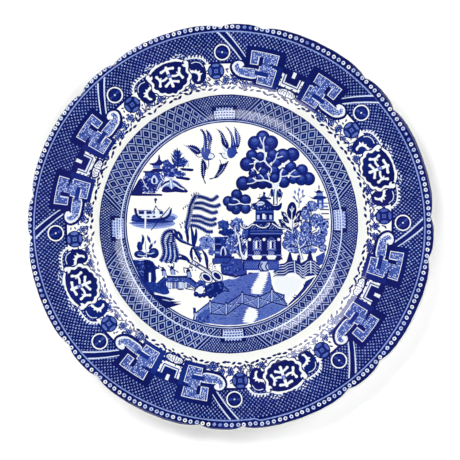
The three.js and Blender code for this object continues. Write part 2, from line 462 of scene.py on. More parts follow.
def cartouche(base):
    """A lobed shield with curls, and on each side of it a crested leaf, a coin and a ringlet."""
    top = [(0, 109.2), (3.6, 108.6), (5.6, 107.4), (7.5, 106.4), (8.1, 103.5), (7.6, 100.5), (7.9, 98.4)]
    lobes = [(8.3, 96.2), (7.9, 94.4), (7, 93.4), (6.8, 91.6), (5.7, 90.4), (4.6, 90.2), (3.9, 88.9),
             (2.7, 88.2), (1.5, 88.3), (0, 86.9)]
    both(0.95, base, top + lobes)
    both(0.02, base, [(0, 109.2), (1, 109.7), (1.8, 109.1), (2.8, 109.8), (3.6, 109.1), (4.4, 108.9),
            (5.2, 107.8), (6, 107), (7.2, 106.2), (7.6, 103.4), (7, 100.2),
            (7.4, 98.3)] + [(0.94 * t, r + 0.5) for t, r in lobes])
    both(1, base, [(0, 108.5), (2, 108.2), (3.6, 107.6), (4.8, 106.8), (5.6, 106), (6.2, 104.4),
            (6.5, 102.2), (6.1, 100), (6.5, 98.2)] + [(0.83 * t, r + 1.7) for t, r in lobes])
    axis = at(base, 1)
    stroke(0.03, [axis(0, 101.2), axis(0, 105.2)], 1.8)
    stroke(0.03, [axis(-2.1, 104.1), axis(0, 104.9), axis(2.1, 104.1)], 1.45)
    stroke(0.03, [axis(0, 99.6), axis(0, 93.8)], 1.7)
    stroke(0.03, [axis(-2.4, 95.3), axis(0, 96.9), axis(2.4, 95.3)], 1.4)
    disc(0.03, *axis(0, 105.6), 1, n=9)
    disc(0.03, *axis(0, 93.8), 1, n=9)
    disc(0.5, *rim(base, 100.4), 1.5, 1.2, laid(base), 12)
    disc(0.25, *rim(base, 100.6), 0.6, 0.45, laid(base), 8)
    for side in (1, -1):
        p = at(base, side)
        stroke(0.03, [p(0.8, 99.9), p(2.2, 99.1), p(3.8, 99.5)], 1.3)
        stroke(0.03, [p(4.3, 102.6), p(3.8, 101), p(3.8, 99), p(4.4, 97)], 1.35)
        for t, r in ((2.1, 104.2), (2.4, 95.3), (4.2, 102.7), (4.4, 96.9)):
            disc(0.03, *p(t, r), 0.95, n=9)
        stroke(0.03, [p(3.6, 99.8), p(2.9, 101.2)], 0.7)
        # curl at the shoulder and the tuft beside the crest
        disc(0.03, *p(6.6, 104.5), 2.1, n=16)
        disc(1, *p(5.9, 105.2), 0.85, n=9)
        stroke(1, [p(5.9, 105.2), p(6, 106.2), p(6.8, 106.6)], 0.6)
        for t, r, turn in ((3.6, 110.4, 60), (4.6, 111.2, 85), (5.6, 110.6, 110), (5, 109.4, 100),
                (6.4, 109.6, 125), (2.6, 110.1, 45)):
            leaf(0.08, *p(t, r), 2, 0.75, laid(base + side * t) - side * turn)
        blob(0.97, traced(p, ((7.7, 104.4), (9.6, 105.3), (11.6, 104.1), (13, 101), (13.3, 97),
                (12.9, 93.2), (11.4, 90.6), (9.4, 90.1), (7.9, 91.7), (7.5, 94.5), (8.1, 97), (7.9, 99.5),
                (7.6, 102))))
        stroke(0.12, [p(8.6, 103.7), p(10.2, 104), p(11.7, 102.7), p(12.5, 100.2)], 0.5)
        blob(0.03, traced(p, ((7.7, 99.6), (8.6, 99.4), (9.2, 98.7), (9.8, 99.5), (10.1, 98), (11.2, 98.3),
                (10.8, 96.9), (11.9, 96.4), (11, 95.2), (10.8, 93.7), (10.5, 92.4), (9.7, 91.9),
                (9.4, 92.6), (10, 93.8), (10.1, 95.3), (9.8, 96.6), (9, 97.5), (8, 98), (7.6, 98.6))), 2)
        for t, r, w in ((7.2, 107.4, 0.9), (8.4, 107.9, 1), (9.6, 107.2, 1), (10.8, 107.2, 1),
                (11.9, 106.4, 1.1), (12.8, 105.3, 1.1), (13.5, 103.8, 1), (14.2, 102.2, 0.9)):
            leaf(0.05, *p(t, r), 2.6 * w, 1.15 * w, laid(base + side * t) + side * (55 - 9 * (t - 7)))
        stroke(0.04, [p(7.4, 106.9), p(9.5, 106.7), p(11.9, 105.6), p(13.3, 103.4), p(14.1, 100.6),
                      p(14.2, 98)], 0.75)
        coin(*p(16.9, 96.6), laid(base + side * 16.9))
        ringlet(*p(19.4, 108))


def speckle(place, t0, t1, r0, r1):
    """Short broken hatching, dark and light, over a tinted area."""
    for k, t in enumerate(np.arange(min(t0, t1) + 0.45, max(t0, t1) - 0.2, 0.66)):
        for r in np.arange(r0 + 0.7, r1 - 0.4, 1.05):
            x, y = place(t + rng.uniform(-0.12, 0.12), r + rng.uniform(-0.2, 0.2))
            a = math.degrees(math.atan2(y - RIM_Y, x - RIM_X))
            leaf(rng.choice((1, 0.96, 0.06, 0.1)), x, y, rng.uniform(0.85, 1.3), 0.5,
                 a + 90 * (k % 2) + rng.uniform(-20, 20))


def framed(place, t0, t1, r0, r1, ink=0.56):
    """A light block with a whiter border and broken hatching inside."""
    way = 1 if t1 > t0 else -1
    for inset, shade in ((0, 0.06), (0.42, 0.72), (0.85, ink)):
        i, j = way * inset * 0.62, inset
        patch(shade, place, [(t0 + i, r0 + j), (t1 - i, r0 + j), (t1 - i, r1 - j), (t0 + i, r1 - j)])
    speckle(place, t0 + way * 0.4, t1 - way * 0.4, r0 + 0.5, r1 - 0.5)


def meander(base):
    """Key pattern on both sides of a stepped cup, between two slanting bars."""
    for side in (1, -1):
        p = at(base, side)
        patch(0.98, p, [(26.4, 120.4), (24, 120.4), (17.3, 104.6), (17.3, 100.6), (18.2, 100.6)])
        patch(0.12, p, [(27, 120.4), (26.4, 120.4), (17.9, 101.3), (18.3, 101)])
        patch(0.12, p, [(24.4, 120.4), (23.8, 120.4), (17.4, 105.2), (17.4, 104.4)])
        # dark frame
        patch(1, p, [(17.9, 99.2), (17.7, 112.6), (4.6, 112.6), (4.3, 104.3), (0, 104.3), (0, 97.4),
                     (1.9, 97.4), (4.1, 101), (4.1, 92.8), (0, 92.8), (0, 91.2), (4.3, 91.2), (4.3, 87.8),
                     (13.8, 87.8), (13.8, 91), (19, 91), (21.3, 93.2), (20.8, 95), (18, 93.6), (11.6, 93.6),
                     (11.6, 99.2)])
        patch(0.86, p, [(4.4, 88), (13.6, 88), (13.6, 90), (6.2, 90.2), (6, 103.5), (4.4, 103.5)])
        # hooked end
        hook = traced(p, ((13.2, 93.2), (18.2, 93), (20.6, 94.4), (22, 97.2), (22.2, 99.8), (21.2, 102),
                (19.7, 102.7), (18.4, 101.9), (18, 100.2), (18.4, 98.9), (13.2, 99)))
        blob(1, traced(p, ((13, 91.6), (18.6, 91.4), (21.4, 93.2), (22.9, 96.8), (23, 100.2), (21.6, 103),
                (19.6, 103.7), (17.8, 102.4), (17.2, 100.2), (13, 99.4))))
        blob(0.05, hook)
        blob(0.5, traced(p, ((13.2, 93.9), (17.8, 93.8), (19.9, 95.2), (21.1, 97.4), (21.3, 99.6),
                (20.5, 101.2), (19.8, 100.6), (19.4, 98.4), (18.2, 98.3), (13.2, 98.4))))
        speckle(p, 13, 20.6, 93.6, 99)
        speckle(p, 19.9, 21.3, 96.5, 101.2)
        disc(0.03, *p(19.3, 99.8), 1.35, 1, laid(base + side * 19.3) + 20, 12)
        # upper and lower blocks of the key
        framed(p, 6.8, 16, 101.5, 110)
        patch(0.5, p, [(6.8, 97.8), (11.6, 97.8), (11.6, 102.4), (6.8, 102.4)])
        speckle(p, 6.6, 11.7, 97.8, 102.6)
        patch(1, p, [(13.1, 99), (11.7, 99), (11.7, 106.6), (13.1, 106.6)])
        patch(0.1, p, [(13.5, 101.4), (13.1, 101.4), (13.1, 106.8), (13.5, 106.8)])
        patch(1, p, [(17.6, 99), (11.7, 99), (11.7, 101.2), (17.6, 101.2)])
        patch(0.95, p, [(9.3, 101.6), (6, 101.6), (6, 103.6), (9.3, 103.6)])
        framed(p, 6.3, 12.6, 90.2, 101)
        patch(0.5, p, [(8.2, 98.2), (11.9, 98.2), (11.9, 102.4), (8.2, 102.4)])
        speckle(p, 8, 11.9, 98, 102.6)
        patch(0.84, p, [(13.9, 95.3), (8.9, 95.3), (8.9, 97.9), (13.9, 97.9)])
        patch(0.06, p, [(12.6, 94.6), (9.4, 94.6), (9.4, 95.2), (12.6, 95.2)])
        # scrolled leaves under the cup
        blob(0.92, traced(p, ((0, 92.4), (2, 92.2), (3.9, 91), (4, 89), (2.6, 86.9), (1.2, 87.4), (0, 86.6))))
        blob(0.04, traced(p, ((0.2, 91.6), (1.8, 91.5), (3.3, 90.6), (3.4, 89.2), (2.4, 87.8), (1.2, 88.2),
                (0.3, 87.6))))
        for q0, q1, q2 in (((0.5, 91), (1.2, 90), (1, 88.6)), ((1.5, 91), (2.2, 90), (2.2, 88.4)),
                ((2.5, 90.9), (2.9, 90), (2.9, 89))):
            stroke(0.85, [p(*q0), p(*q1), p(*q2)], 0.42)
        leaf(0.95, *p(7.2, 84.9), 2.6, 1.1, laid(base + side * 7.2) + 90 - side * 20)
        leaf(0.95, *p(2.1, 84.8), 2.4, 1.1, laid(base + side * 2.1) + 90 + side * 25)
        leaf(0.9, *p(5, 86.4), 2.4, 1, laid(base + side * 5) + 90)
        flower(*p(17, 88.2), 2.6)
        flower(*p(15, 88.6), 1.9)
    # stepped cup
    for half, low, ink in ((3.75, 93.7, 0.05), (3.3, 94.45, 0.85), (2.9, 95.1, 0.08), (2.45, 95.9, 0.97)):
        patch(ink, at(base, 1), [(-half, low), (half, low), (half, 100.6), (-half, 100.6)])
    patch(1, at(base, 1), [(-1.75, 97.3), (1.75, 97.3), (1.75, 101.2), (-1.75, 101.2)])
    patch(0.05, at(base, 1), [(-0.55, 99.9), (0.55, 99.9), (0.6, 103.6), (-0.6, 103.6)])


def rim_border():
    """Everything that is printed between the edge and the bare shoulder."""
    edge_border()
    dotted(101, 120.4, 1.25, 1.3, 0.5)
    outline = [rim(t, 101.4 + 0.5 * math.cos(math.radians(8 * t))) for t in np.arange(0, -360, -1.5)]
    paint(0, outline)
    for k in range(4):
        fringe(-90 * k)
        fringe(-90 * k - 45)
    for k in range(4):
        cartouche(-90 * k)
        meander(-90 * k - 45)


# ---- inner band
MID_X, MID_Y = -1.5, 1.9
BAND_OUT, BAND_TURN = 80.9, 2.2
CELLS, CELL_ROWS, CELL_HEIGHT = 76, 5, 4.0
# A panel's inner and outer radius, and half its width in degrees at each.
PANEL_IN, PANEL_OUT, PANEL_FOOT, PANEL_TOP = 65, 80.5, 7, 16.3


def mid(a, r):
    """Place of an angle and a radius in the well."""
    return polar(r, a, MID_X, MID_Y)


def inner_band():
    """Lattice round the cavetto, its four panels, a painted highlight at the bend of the well and the lines
    that part it from the picture.
    """
    ring_line(1, MID_X, MID_Y, BAND_OUT)
    for k in range(CELLS * CELL_ROWS):
        row, i = divmod(k, CELLS)
        r = BAND_OUT - 0.5 - CELL_HEIGHT * row
        a = BAND_TURN + 360.0 / CELLS * (i + 0.5 * (row % 2))
        for share, ink in ((0.84, 0.24), (0.62, rng.uniform(0.92, 1)), (0.15, 0.6)):
            h, w = CELL_HEIGHT * share, 180.0 / CELLS * share
            top, bottom = min(r + h, BAND_OUT - 0.35), max(r - h, 64.2)
            paint(ink, [mid(a, top), mid(a - w, r), mid(a, bottom), mid(a + w, r)])
    for k, marks in enumerate((0.5, 0.8, 0.5, 0.72)):
        panel(BAND_TURN + 90 * k, marks)
    # a thin pale line painted round the bend of the well: a painted highlight where the glaze there catches
    # the light
    stroke(0.12, [polar(69.3, a) for a in range(123, 422, 4)], 0.75, steps=2)
    for r, ink in ((66, 0.97), (65.25, 0.2), (64.75, 0.95), (64.05, 0)):
        ring_line(ink, MID_X, MID_Y, r)


def panel(a, marks):
    """A dotted stretch of the band between two slanting bars, with a small tablet in it."""
    def box(ink, h0, h1, r0, r1):
        """A four-sided piece of the panel, its two long sides bent along the band."""
        n = max(1, int(h0 / 2))
        low = [mid(a - h0 + 2 * h0 * i / n, r0) for i in range(n + 1)]
        high = [mid(a + h1 - 2 * h1 * i / n, r1) for i in range(n + 1)]
        paint(ink, low + high)

    for extra, ink in ((1.75, 0.25), (1.3, 1), (0, 0.25), (-0.45, 0.98)):
        box(ink, PANEL_FOOT + extra, PANEL_TOP + extra, PANEL_IN, PANEL_OUT)
    for j in range(13):
        r = 79.7 - 1.1 * j
        h = PANEL_FOOT + (PANEL_TOP - PANEL_FOOT) * (r - PANEL_IN) / (PANEL_OUT - PANEL_IN) - 1.2
        for i in range(-12, 13):
            off = 1.3 * (i + 0.5 * (j % 2))
            if abs(off) < h:
                disc(rng.uniform(0.2, 0.4), *mid(a + off + rng.uniform(-0.08, 0.08), r), 0.52, 0.44, a, 5)
    box(1, 6.4, 6.4, PANEL_IN, 74.3)
    box(0.14, 5.3, 5.3, 66.2, 71.3)
    box(0.14, 4, 4, 71, 73.3)
    for j, r in enumerate((66.9, 68.5, 70.1, 71.7, 72.9)):
        h = 5.1 if r < 71 else 3.8
        n = 7 if r < 71 else 5
        for i in range(n):
            t0 = a - h + 2 * h * (i + 0.12 + 0.25 * (j % 2)) / n
            t1 = min(t0 + 2 * h * 0.72 / n, a + h)
            paint(marks, [mid(t0, r - 0.5), mid(t1, r - 0.5), mid(t1, r + 0.4), mid(t0, r + 0.4)])


# ---- picture
TONE_GAIN = 0.72
DARK_SPREAD = 1.15


def foliage(x, y, rx, ry, count, inks=(0.2, 0.8), size=1, base=None, edge=None):
    """Mottled leaves inside a ragged oval: some pale, some dark, few between."""
    if base is not None:
        n = 16
        ring = [(rng.uniform(0.76, 1.04), q) for q in np.arange(n) * 2 * math.pi / n]
        for ink, more in ((edge, 0.4), (base, 0)):
            if ink is not None:
                blob(ink, [(x + (rx * k + more) * math.cos(q), y + (ry * k + more) * math.sin(q)) for k,
                           q in ring], 2)
    for _ in range(count):
        q, k = rng.uniform(0, 2 * math.pi), math.sqrt(rng.random()) * 1.02
        ink = inks[0] + rng.uniform(0, 0.12) if rng.random() < 0.42 else inks[1] - rng.uniform(0, 0.12)
        leaf(ink, x + rx * k * math.cos(q), y + ry * k * math.sin(q), size * rng.uniform(0.9, 1.7),
             size * rng.uniform(0.5, 0.85), rng.uniform(0, 180))


def fruit(x, y, r, deep=0):
    """A shaded round crown of leaves."""
    r *= 1.1
    disc(0.98, x, y, r)
    disc(min(0.84 + deep, 1), x, y + 0.04 * r, 0.86 * r)
    disc(min(0.72 + deep, 1), x - 0.03 * r, y + 0.14 * r, 0.7 * r)
    disc(0.56 + deep, x - 0.05 * r, y + 0.22 * r, 0.54 * r, 0.46 * r)
    disc(0.42 + deep, x - 0.09 * r, y + 0.38 * r, 0.34 * r, 0.22 * r)
    for _ in range(int(2.6 * r)):
        q, k = rng.uniform(0, 2 * math.pi), rng.uniform(0.2, 0.8)
        ink = rng.choice((0.9, 0.55)) if k > 0.5 else 0.8
        leaf(ink, x + r * k * math.cos(q), y + r * k * math.sin(q), 0.22 * r, 0.35, rng.uniform(-30, 30))


def limbs(ink, width, lines, ends=(1, 1)):
    """Several lines of one width; dark ink spreads a little."""
    spread = DARK_SPREAD if ink > 0.6 else 1.0
    for line in lines:
        stroke(ink, line, spread * width, ends)


def outlined(lines, width, ink=0.04, edge=0.95, rim_width=0.5):
    """Pale lines with a dark outline."""
    limbs(edge, width + 2 * rim_width, lines)
    limbs(ink, width, lines)


def rect(ink, x0, y0, x1, y1):
    """An upright rectangle."""
    paint(ink, [(x0, y0), (x1, y0), (x1, y1), (x0, y1)])


def diaper(x0, y0, x1, y1, step, ink):
    """Rows of small lozenges."""
    for j, y in enumerate(np.arange(y0 + step / 2, y1, step * 0.62)):
        for x in np.arange(x0 + step * (0.5 + 0.5 * (j % 2)), x1 - step * 0.3, step):
            w = step * 0.34
            paint(ink, [(x + w, y), (x, y + w * 0.8), (x - w, y), (x, y - w * 0.8)])


def birds():
    """Two doves that meet in the air."""
    serrated(0.86, [(-19.6, 61.4), (-18, 61.3), (-16.2, 59), (-15.2, 56), (-14.9, 51), (-15.5, 46),
            (-17.5, 46), (-17.3, 52), (-17.2, 56), (-18, 59)])
    blob(0.6, [(-17.8, 59.6), (-16.6, 58), (-15.8, 54), (-15.2, 49), (-15.4, 44), (-17.6, 45), (-17.8, 50),
               (-16.9, 55)])
    serrated(0.9, [(-16.2, 61.3), (-14.6, 60.4), (-13, 58.4), (-11.9, 55.8), (-12.3, 53), (-12.8, 51),
            (-13, 47), (-14.2, 47.5), (-14.6, 51), (-14.2, 55), (-14.8, 58)])
    blob(0.5, [(-15.2, 59.2), (-14.2, 57), (-14, 54), (-14.7, 54), (-15.2, 57)])
    serrated(0.88, [(-31, 52.3), (-28, 51.1), (-25.5, 51.6), (-23, 51.2), (-21, 50.2), (-19.6, 48.8),
            (-18.8, 47.2), (-19.8, 45.9), (-22.2, 45.6), (-24.6, 47.4), (-27.2, 50)])
    blob(0.52, [(-18.4, 50), (-15, 49.6), (-12.8, 46.8), (-11.8, 44), (-13.6, 42.2), (-16.2, 42),
                (-18.4, 44.5), (-18.8, 47.4)])
    blob(0.04, [(-13.2, 46.4), (-11.2, 46), (-10.4, 44.4), (-12.4, 43.2), (-14.4, 43.6)])
    limbs(0.85, 0.42, [[(-13.2, 46.6), (-11.3, 46), (-10.2, 44.2)],
            [(-10.2, 44.4), (-12.2, 42.6), (-15, 42.1)], [(-22.5, 45.6), (-20.6, 44), (-18.2, 44.2)],
            [(-14.4, 42.6), (-14, 39.8), (-14.8, 36.4)], [(-18.6, 47), (-20, 46.6)]])
    serrated(0.9, [(-18.2, 43), (-17.3, 42.2), (-16.2, 41), (-15.1, 37.4), (-15.9, 35.8), (-16.4, 33),
            (-17.3, 30.4), (-18.3, 31.2), (-19, 35), (-18.9, 40)])
    stroke(0.95, [(-17.5, 31), (-16.9, 29), (-16.1, 27.3)], 0.8)
    for feather in ([(-17.5, 57.4), (-16.9, 52), (-16.9, 47)], [(-13.7, 57.6), (-13.2, 53), (-13.7, 48.6)],
            [(-27.6, 50.6), (-24, 49.4), (-20.6, 47.4)], [(-17.6, 40), (-17.2, 36), (-17.4, 32.6)]):
        stroke(0.15, feather, 0.32)
    # second bird
    serrated(0.88, [(-9.7, 62.4), (-8.2, 61.2), (-6.4, 60.2), (-4.6, 58), (-3.4, 55.4), (-2.2, 53.4),
            (-1.3, 51), (-2.4, 48.8), (-4.4, 50.4), (-6, 52.6), (-6.4, 55.6), (-7, 58.4), (-8.6, 61)])
    blob(0.1, [(-5.8, 51.2), (-4.6, 49.6), (-2.6, 48.2), (-3.2, 47), (-5, 48.6)])
    blob(0.72, [(-3.6, 63.2), (-1.8, 62), (0.2, 59.6), (1.8, 56.2), (2.6, 52.6), (3.2, 49.4), (1.6, 48),
                (-0.4, 49.6), (0, 53), (-0.2, 57), (-1.8, 60.6)])
    blob(0.6, [(0.6, 57), (1.6, 54.4), (2.4, 50.6), (1.4, 49.6), (0.6, 52)])
    blob(0.55, [(2, 61.8), (3.2, 59.6), (4, 56.6), (3.9, 52), (3, 50.4), (2.8, 54), (2.2, 57.6)])
    serrated(0.92, [(1.6, 63), (3.2, 61.6), (4.8, 58.8), (5.9, 56), (5.5, 52.8), (4.9, 50.4), (3.2, 49),
            (3.8, 52.4), (4.3, 56), (3.5, 59.2)])
    blob(0.5, [(-1.4, 50), (2.6, 49.6), (3.6, 47.6), (2.6, 44.8), (0.2, 43.2), (-1.8, 44), (-2.6, 47)])
    blob(0.03, [(-6.6, 46.6), (-4.6, 47), (-2.8, 46), (-2.4, 43.6), (-4.6, 43.2), (-6.2, 44.4)])
    limbs(0.85, 0.42, [[(-7.8, 46.4), (-6.4, 46), (-5, 43.6), (-2.6, 42.8)], [(-6.8, 45.6), (-5.6, 46.6)],
            [(-7.2, 42.4), (-6.4, 40)]])
    disc(0.8, -4.4, 46.3, 0.35, n=6)
    paint(0.8, [(2.9, 47.6), (4.6, 46.6), (2.7, 45.7)])
    serrated(0.88, [(-1.6, 41.8), (-2.4, 39.2), (-3.4, 37.4), (-4.6, 35.2), (-6.8, 32.8), (-9.2, 30.7),
            (-10.6, 31.4), (-9.2, 33.8), (-7.8, 36.8), (-7.1, 39.6), (-4.4, 39.9)])
    stroke(0.92, [(-9.6, 31.6), (-11.4, 30.6), (-13.6, 30.3)], 0.75)
    for feather in ([(-7.2, 59.6), (-4.8, 56.2), (-3.4, 51.8)], [(-1.4, 61), (0.8, 57), (1.3, 51.4)],
            [(3.2, 60.6), (4.9, 56.6), (4.4, 52)], [(-4.2, 38.6), (-5.8, 35.6), (-8.6, 32.4)]):
        stroke(0.15, feather, 0.32)


def apple_tree():
    """The big tree with round crowns, and the smaller one beside it."""
    limbs(0.95, 2.6, [[(27.6, 26), (27.8, 20), (27.6, 14)]])
    for crown in ((19.8, 56.6, 3.9), (14.9, 52.8, 4.2), (24.8, 53, 4.3), (19.6, 51.4, 2.7),
                  (22.3, 49.4, 2.3), (13, 45, 3.5), (38.4, 45.6, 4.1), (32.4, 44.8, 4.2), (9.9, 39.6, 4.2),
                  (18.3, 44.4, 2.7), (26, 45.4, 3.4), (23.6, 42.4, 2.1), (28.6, 40.3, 2.9),
                  (18.4, 38.2, 3.3, 0.2), (22.4, 38, 2.5, 0.2), (13.5, 33.7, 2.5), (20.4, 34.8, 2.7),
                  (37.4, 37.8, 3.4), (44.4, 35.8, 3.5), (26.9, 35.6, 3.2), (32.8, 34.3, 3.2),
                  (48.4, 30.4, 3.9), (43.9, 30, 3.6), (40.4, 33, 3.3), (38.8, 29.8, 2.6), (33, 28.4, 3.6),
                  (22, 31.4, 2.2), (17.8, 31.4, 2.3), (27.2, 31, 3), (24, 27, 2.6, 0.2),
                  (19.4, 27, 3, 0.15), (14.4, 27.2, 3.1, 0.15), (7.6, 27.5, 4.3), (12.4, 29, 3.1)):
        fruit(*crown)
    paint(0.04, [(25.4, 27.6), (30.2, 27.2), (29.2, 24.4), (28.7, 20), (28.9, 14.8), (27.2, 14.2),
                 (26.6, 19), (26.2, 24)])
    limbs(0.05, 1, [[(27.4, 26.6), (24, 28.6), (20.6, 29.5), (16.2, 29.2), (13.6, 31)],
            [(28.6, 26.4), (30.4, 29), (31.1, 31.6), (31, 34), (32.4, 36.6)],
            [(24.6, 37.8), (22.6, 39.6), (21.1, 42), (21.3, 45), (20.5, 48.4), (20.3, 51)]])
    limbs(0.07, 0.66, [[(20.6, 29.5), (19.6, 31.6), (18, 33)], [(24, 28.6), (23.6, 31.4), (22.6, 33.8)],
            [(16.2, 29.2), (13.4, 27.6), (10, 27.2)], [(31.1, 31.8), (34, 32), (36.4, 33), (38.4, 35),
            (40.2, 36)], [(36.4, 33), (39.4, 31.6), (43.4, 32.2)], [(20.4, 51), (18.9, 53.6), (17.8, 56.6)],
            [(20.4, 51), (20.2, 54.4), (21.4, 56.8)], [(20.3, 48.6), (18, 48.8), (16.4, 50)],
            [(21, 42), (18.6, 41), (16.4, 41.2), (14, 40), (11.4, 39.6)],
            [(16.4, 41.2), (15, 42.9), (13, 43.4)], [(18.6, 37.4), (17.4, 35.6)],
            [(24, 39), (26.6, 41), (28.1, 43.4), (28.4, 45.4), (29.6, 46.8)],
            [(28.1, 43.4), (30, 43.8), (32.4, 44.6)], [(12.6, 36.6), (14, 35.2)],
            [(24.6, 38), (25.4, 36), (24.6, 34)]])
    stroke(0.03, [(29.8, 37), (32, 38.6), (34.6, 40.4), (36.6, 41.8)], 1.5)
    foliage(25.6, 21.6, 1.3, 2.6, 12, (0.5, 1), 0.9, 0.75)
    foliage(30.4, 21, 1.7, 3.2, 16, (0.3, 1), 0.9, 0.7)
    limbs(0.9, 0.4, [[(27.2, 24), (26.8, 19), (26.9, 15)], [(28.8, 23), (28.4, 18.6), (28.9, 15)],
            [(32.4, 22), (31.6, 18.6), (30, 16.2)]])
    # smaller tree on the left
    for crown in ((3.4, 20.4, 3.3), (-1.9, 16.2, 3.2), (8.8, 17, 3.4), (1.8, 16.8, 2.9),
                  (5.4, 13.6, 3, 0.1), (9, 11.6, 3.1), (3, 11.2, 3.1), (-0.4, 12.6, 2.6, 0.1)):
        fruit(*crown)
    limbs(0.06, 0.62, [[(-1.6, 14.4), (2, 14.1), (5.6, 15), (8.4, 14.2), (12, 14.6)],
            [(5.6, 15), (4, 17), (1.2, 17.8)]])


def island():
    """The far island with its house and fir tree."""
    blob(0.85, [(-62.4, 20.8), (-60.4, 25.4), (-58.4, 29.2), (-56.4, 30.6), (-55.4, 27), (-55.8, 21)])
    for cluster in ((-51, 27, 6.6, 6, 80, (0.12, 1), 1.2, 0.66),
            (-38.6, 35.6, 5.4, 5.4, 74, (0.12, 1), 1.1, 0.6),
            (-31.6, 40.6, 4.8, 3.2, 26, (0.2, 0.9), 1.1, 0.5),
            (-34, 45.4, 2.6, 3.2, 14, (0.3, 0.9), 1, 0.45), (-33, 33.4, 4.4, 2.2, 26, (0.12, 1), 1, 0.55),
            (-40.8, 40, 2.2, 2.6, 16, (0.2, 0.95), 1, 0.55), (-45.4, 30, 3.4, 5, 40, (0.12, 1), 1, 0.5)):
        foliage(*cluster)
    blob(0.88, [(-51.6, 39.9), (-48, 40.4), (-46.1, 42.4), (-45.6, 45.2), (-44.8, 45.2), (-44.4, 42.4),
                (-43, 41), (-43.6, 39), (-47.6, 38.2)])
    blob(0.9, [(-55, 35.3), (-51, 35.3), (-48.4, 36.8), (-44, 36.8), (-43, 35.2), (-46, 34.4), (-51, 34.1),
               (-54.6, 34.2)])
    rect(0.5, -54.2, 31.8, -50.4, 34.2)
    rect(0.35, -49.2, 37, -44.4, 38.6)
    rect(0.55, -50.4, 30.6, -44.6, 34.2)
    blob(0.08, [(-50.2, 30), (-48.2, 32.8), (-46.2, 30), (-46.6, 27.4), (-49.6, 27.4)])
    blob(0.95, [(-49.2, 30.2), (-48.2, 31.2), (-47.4, 30.2), (-47.4, 27.8), (-49, 27.8)])
    limbs(0.9, 0.5, [[(-45, 34), (-43.4, 31), (-41.4, 28.6)], [(-43.4, 38), (-42, 34), (-41.6, 30.6)],
            [(-52.8, 30), (-52.4, 26), (-52.4, 23)], [(-55, 25), (-53.4, 23.6), (-52, 22.4)],
            [(-50, 22.4), (-47.6, 24), (-45, 24.6)]])
    limbs(0.08, 0.6, [[(-44.6, 33), (-43, 30), (-41, 28)], [(-55.6, 30), (-53.8, 26), (-52, 24)],
            [(-46.6, 23.4), (-45.4, 26.4), (-43.4, 29)]])
    paint(0.2, [(-44, 24.6), (-41, 28.2), (-37.6, 30.4), (-33.4, 28.6), (-29, 24.6), (-27.4, 23.4)])
    blob(0.9, [(-43.6, 23.4), (-42, 25.4), (-39.4, 25.6), (-37.4, 24), (-35.4, 25.6), (-32, 24.8),
               (-28, 23.6), (-27.4, 21.9), (-31, 21.7), (-35, 22.1), (-39, 21.7), (-42.8, 22)])
    limbs(0.92, 0.9, [[(-44, 25.6), (-41.4, 28), (-38.6, 29.2)],
            [(-36.4, 28.8), (-34, 27.6), (-31.6, 25.4), (-29, 24.2)]])
    limbs(0.04, 0.75, [[(-44, 24.6), (-41.6, 26.6), (-39, 27.6)],
            [(-38.2, 29.6), (-37.6, 26.6), (-37.4, 24)],
            [(-36.6, 27.6), (-34.6, 26.4), (-32.4, 24.8), (-29.4, 23.6)],
            [(-40.6, 30.6), (-37.6, 31), (-34.6, 30)]])
    blob(0.95, [(-32.2, 36.8), (-30.6, 37.2), (-26, 36.9), (-24, 36.6), (-23.4, 35.8), (-24.6, 35),
                (-27.4, 35.2), (-30.4, 35.4)])
    blob(0.93, [(-34.6, 31.4), (-32, 31.8), (-28, 31.4), (-26.2, 30.9), (-25.6, 30.1), (-27, 29.3),
                (-30, 29.8), (-34, 30.4)])
    limbs(0.85, 1.1, [[(-33.6, 38), (-33.4, 44), (-34, 49.8)]], (1.2, 0.4))
    for y, left, right in ((39.2, (-37.4, 42.4), (-28.6, 39.2)), (41, (-38, 44.6), (-26.4, 41.6)),
            (43, (-37.8, 46.6), (-29.2, 44.4)), (45, (-36.6, 48), (-30.4, 46.8)),
            (47, (-35.8, 48.8), (-32, 48.8))):
        stroke(0.78, [(-33.6, y - 1.2), ((left[0] - 33.6) / 2, y + 0.4), left], 0.95, (1, 0.25))
        stroke(0.82, [(-33.6, y - 1.2), ((right[0] - 33.6) / 2, y - 0.1), right], 0.95, (1, 0.25))
    foliage(-33.2, 41.5, 3.6, 4, 30, (0.6, 0.95), 0.9)
    foliage(-28, 39, 2.2, 1, 8, (0.2, 0.5), 0.8)
    blob(0.95, [(-63, 21.2), (-56, 21.2), (-48, 21), (-43.8, 20.9), (-43.2, 20.2), (-44, 19.6), (-52, 19.7),
                (-58, 19.6), (-63, 19.8)])


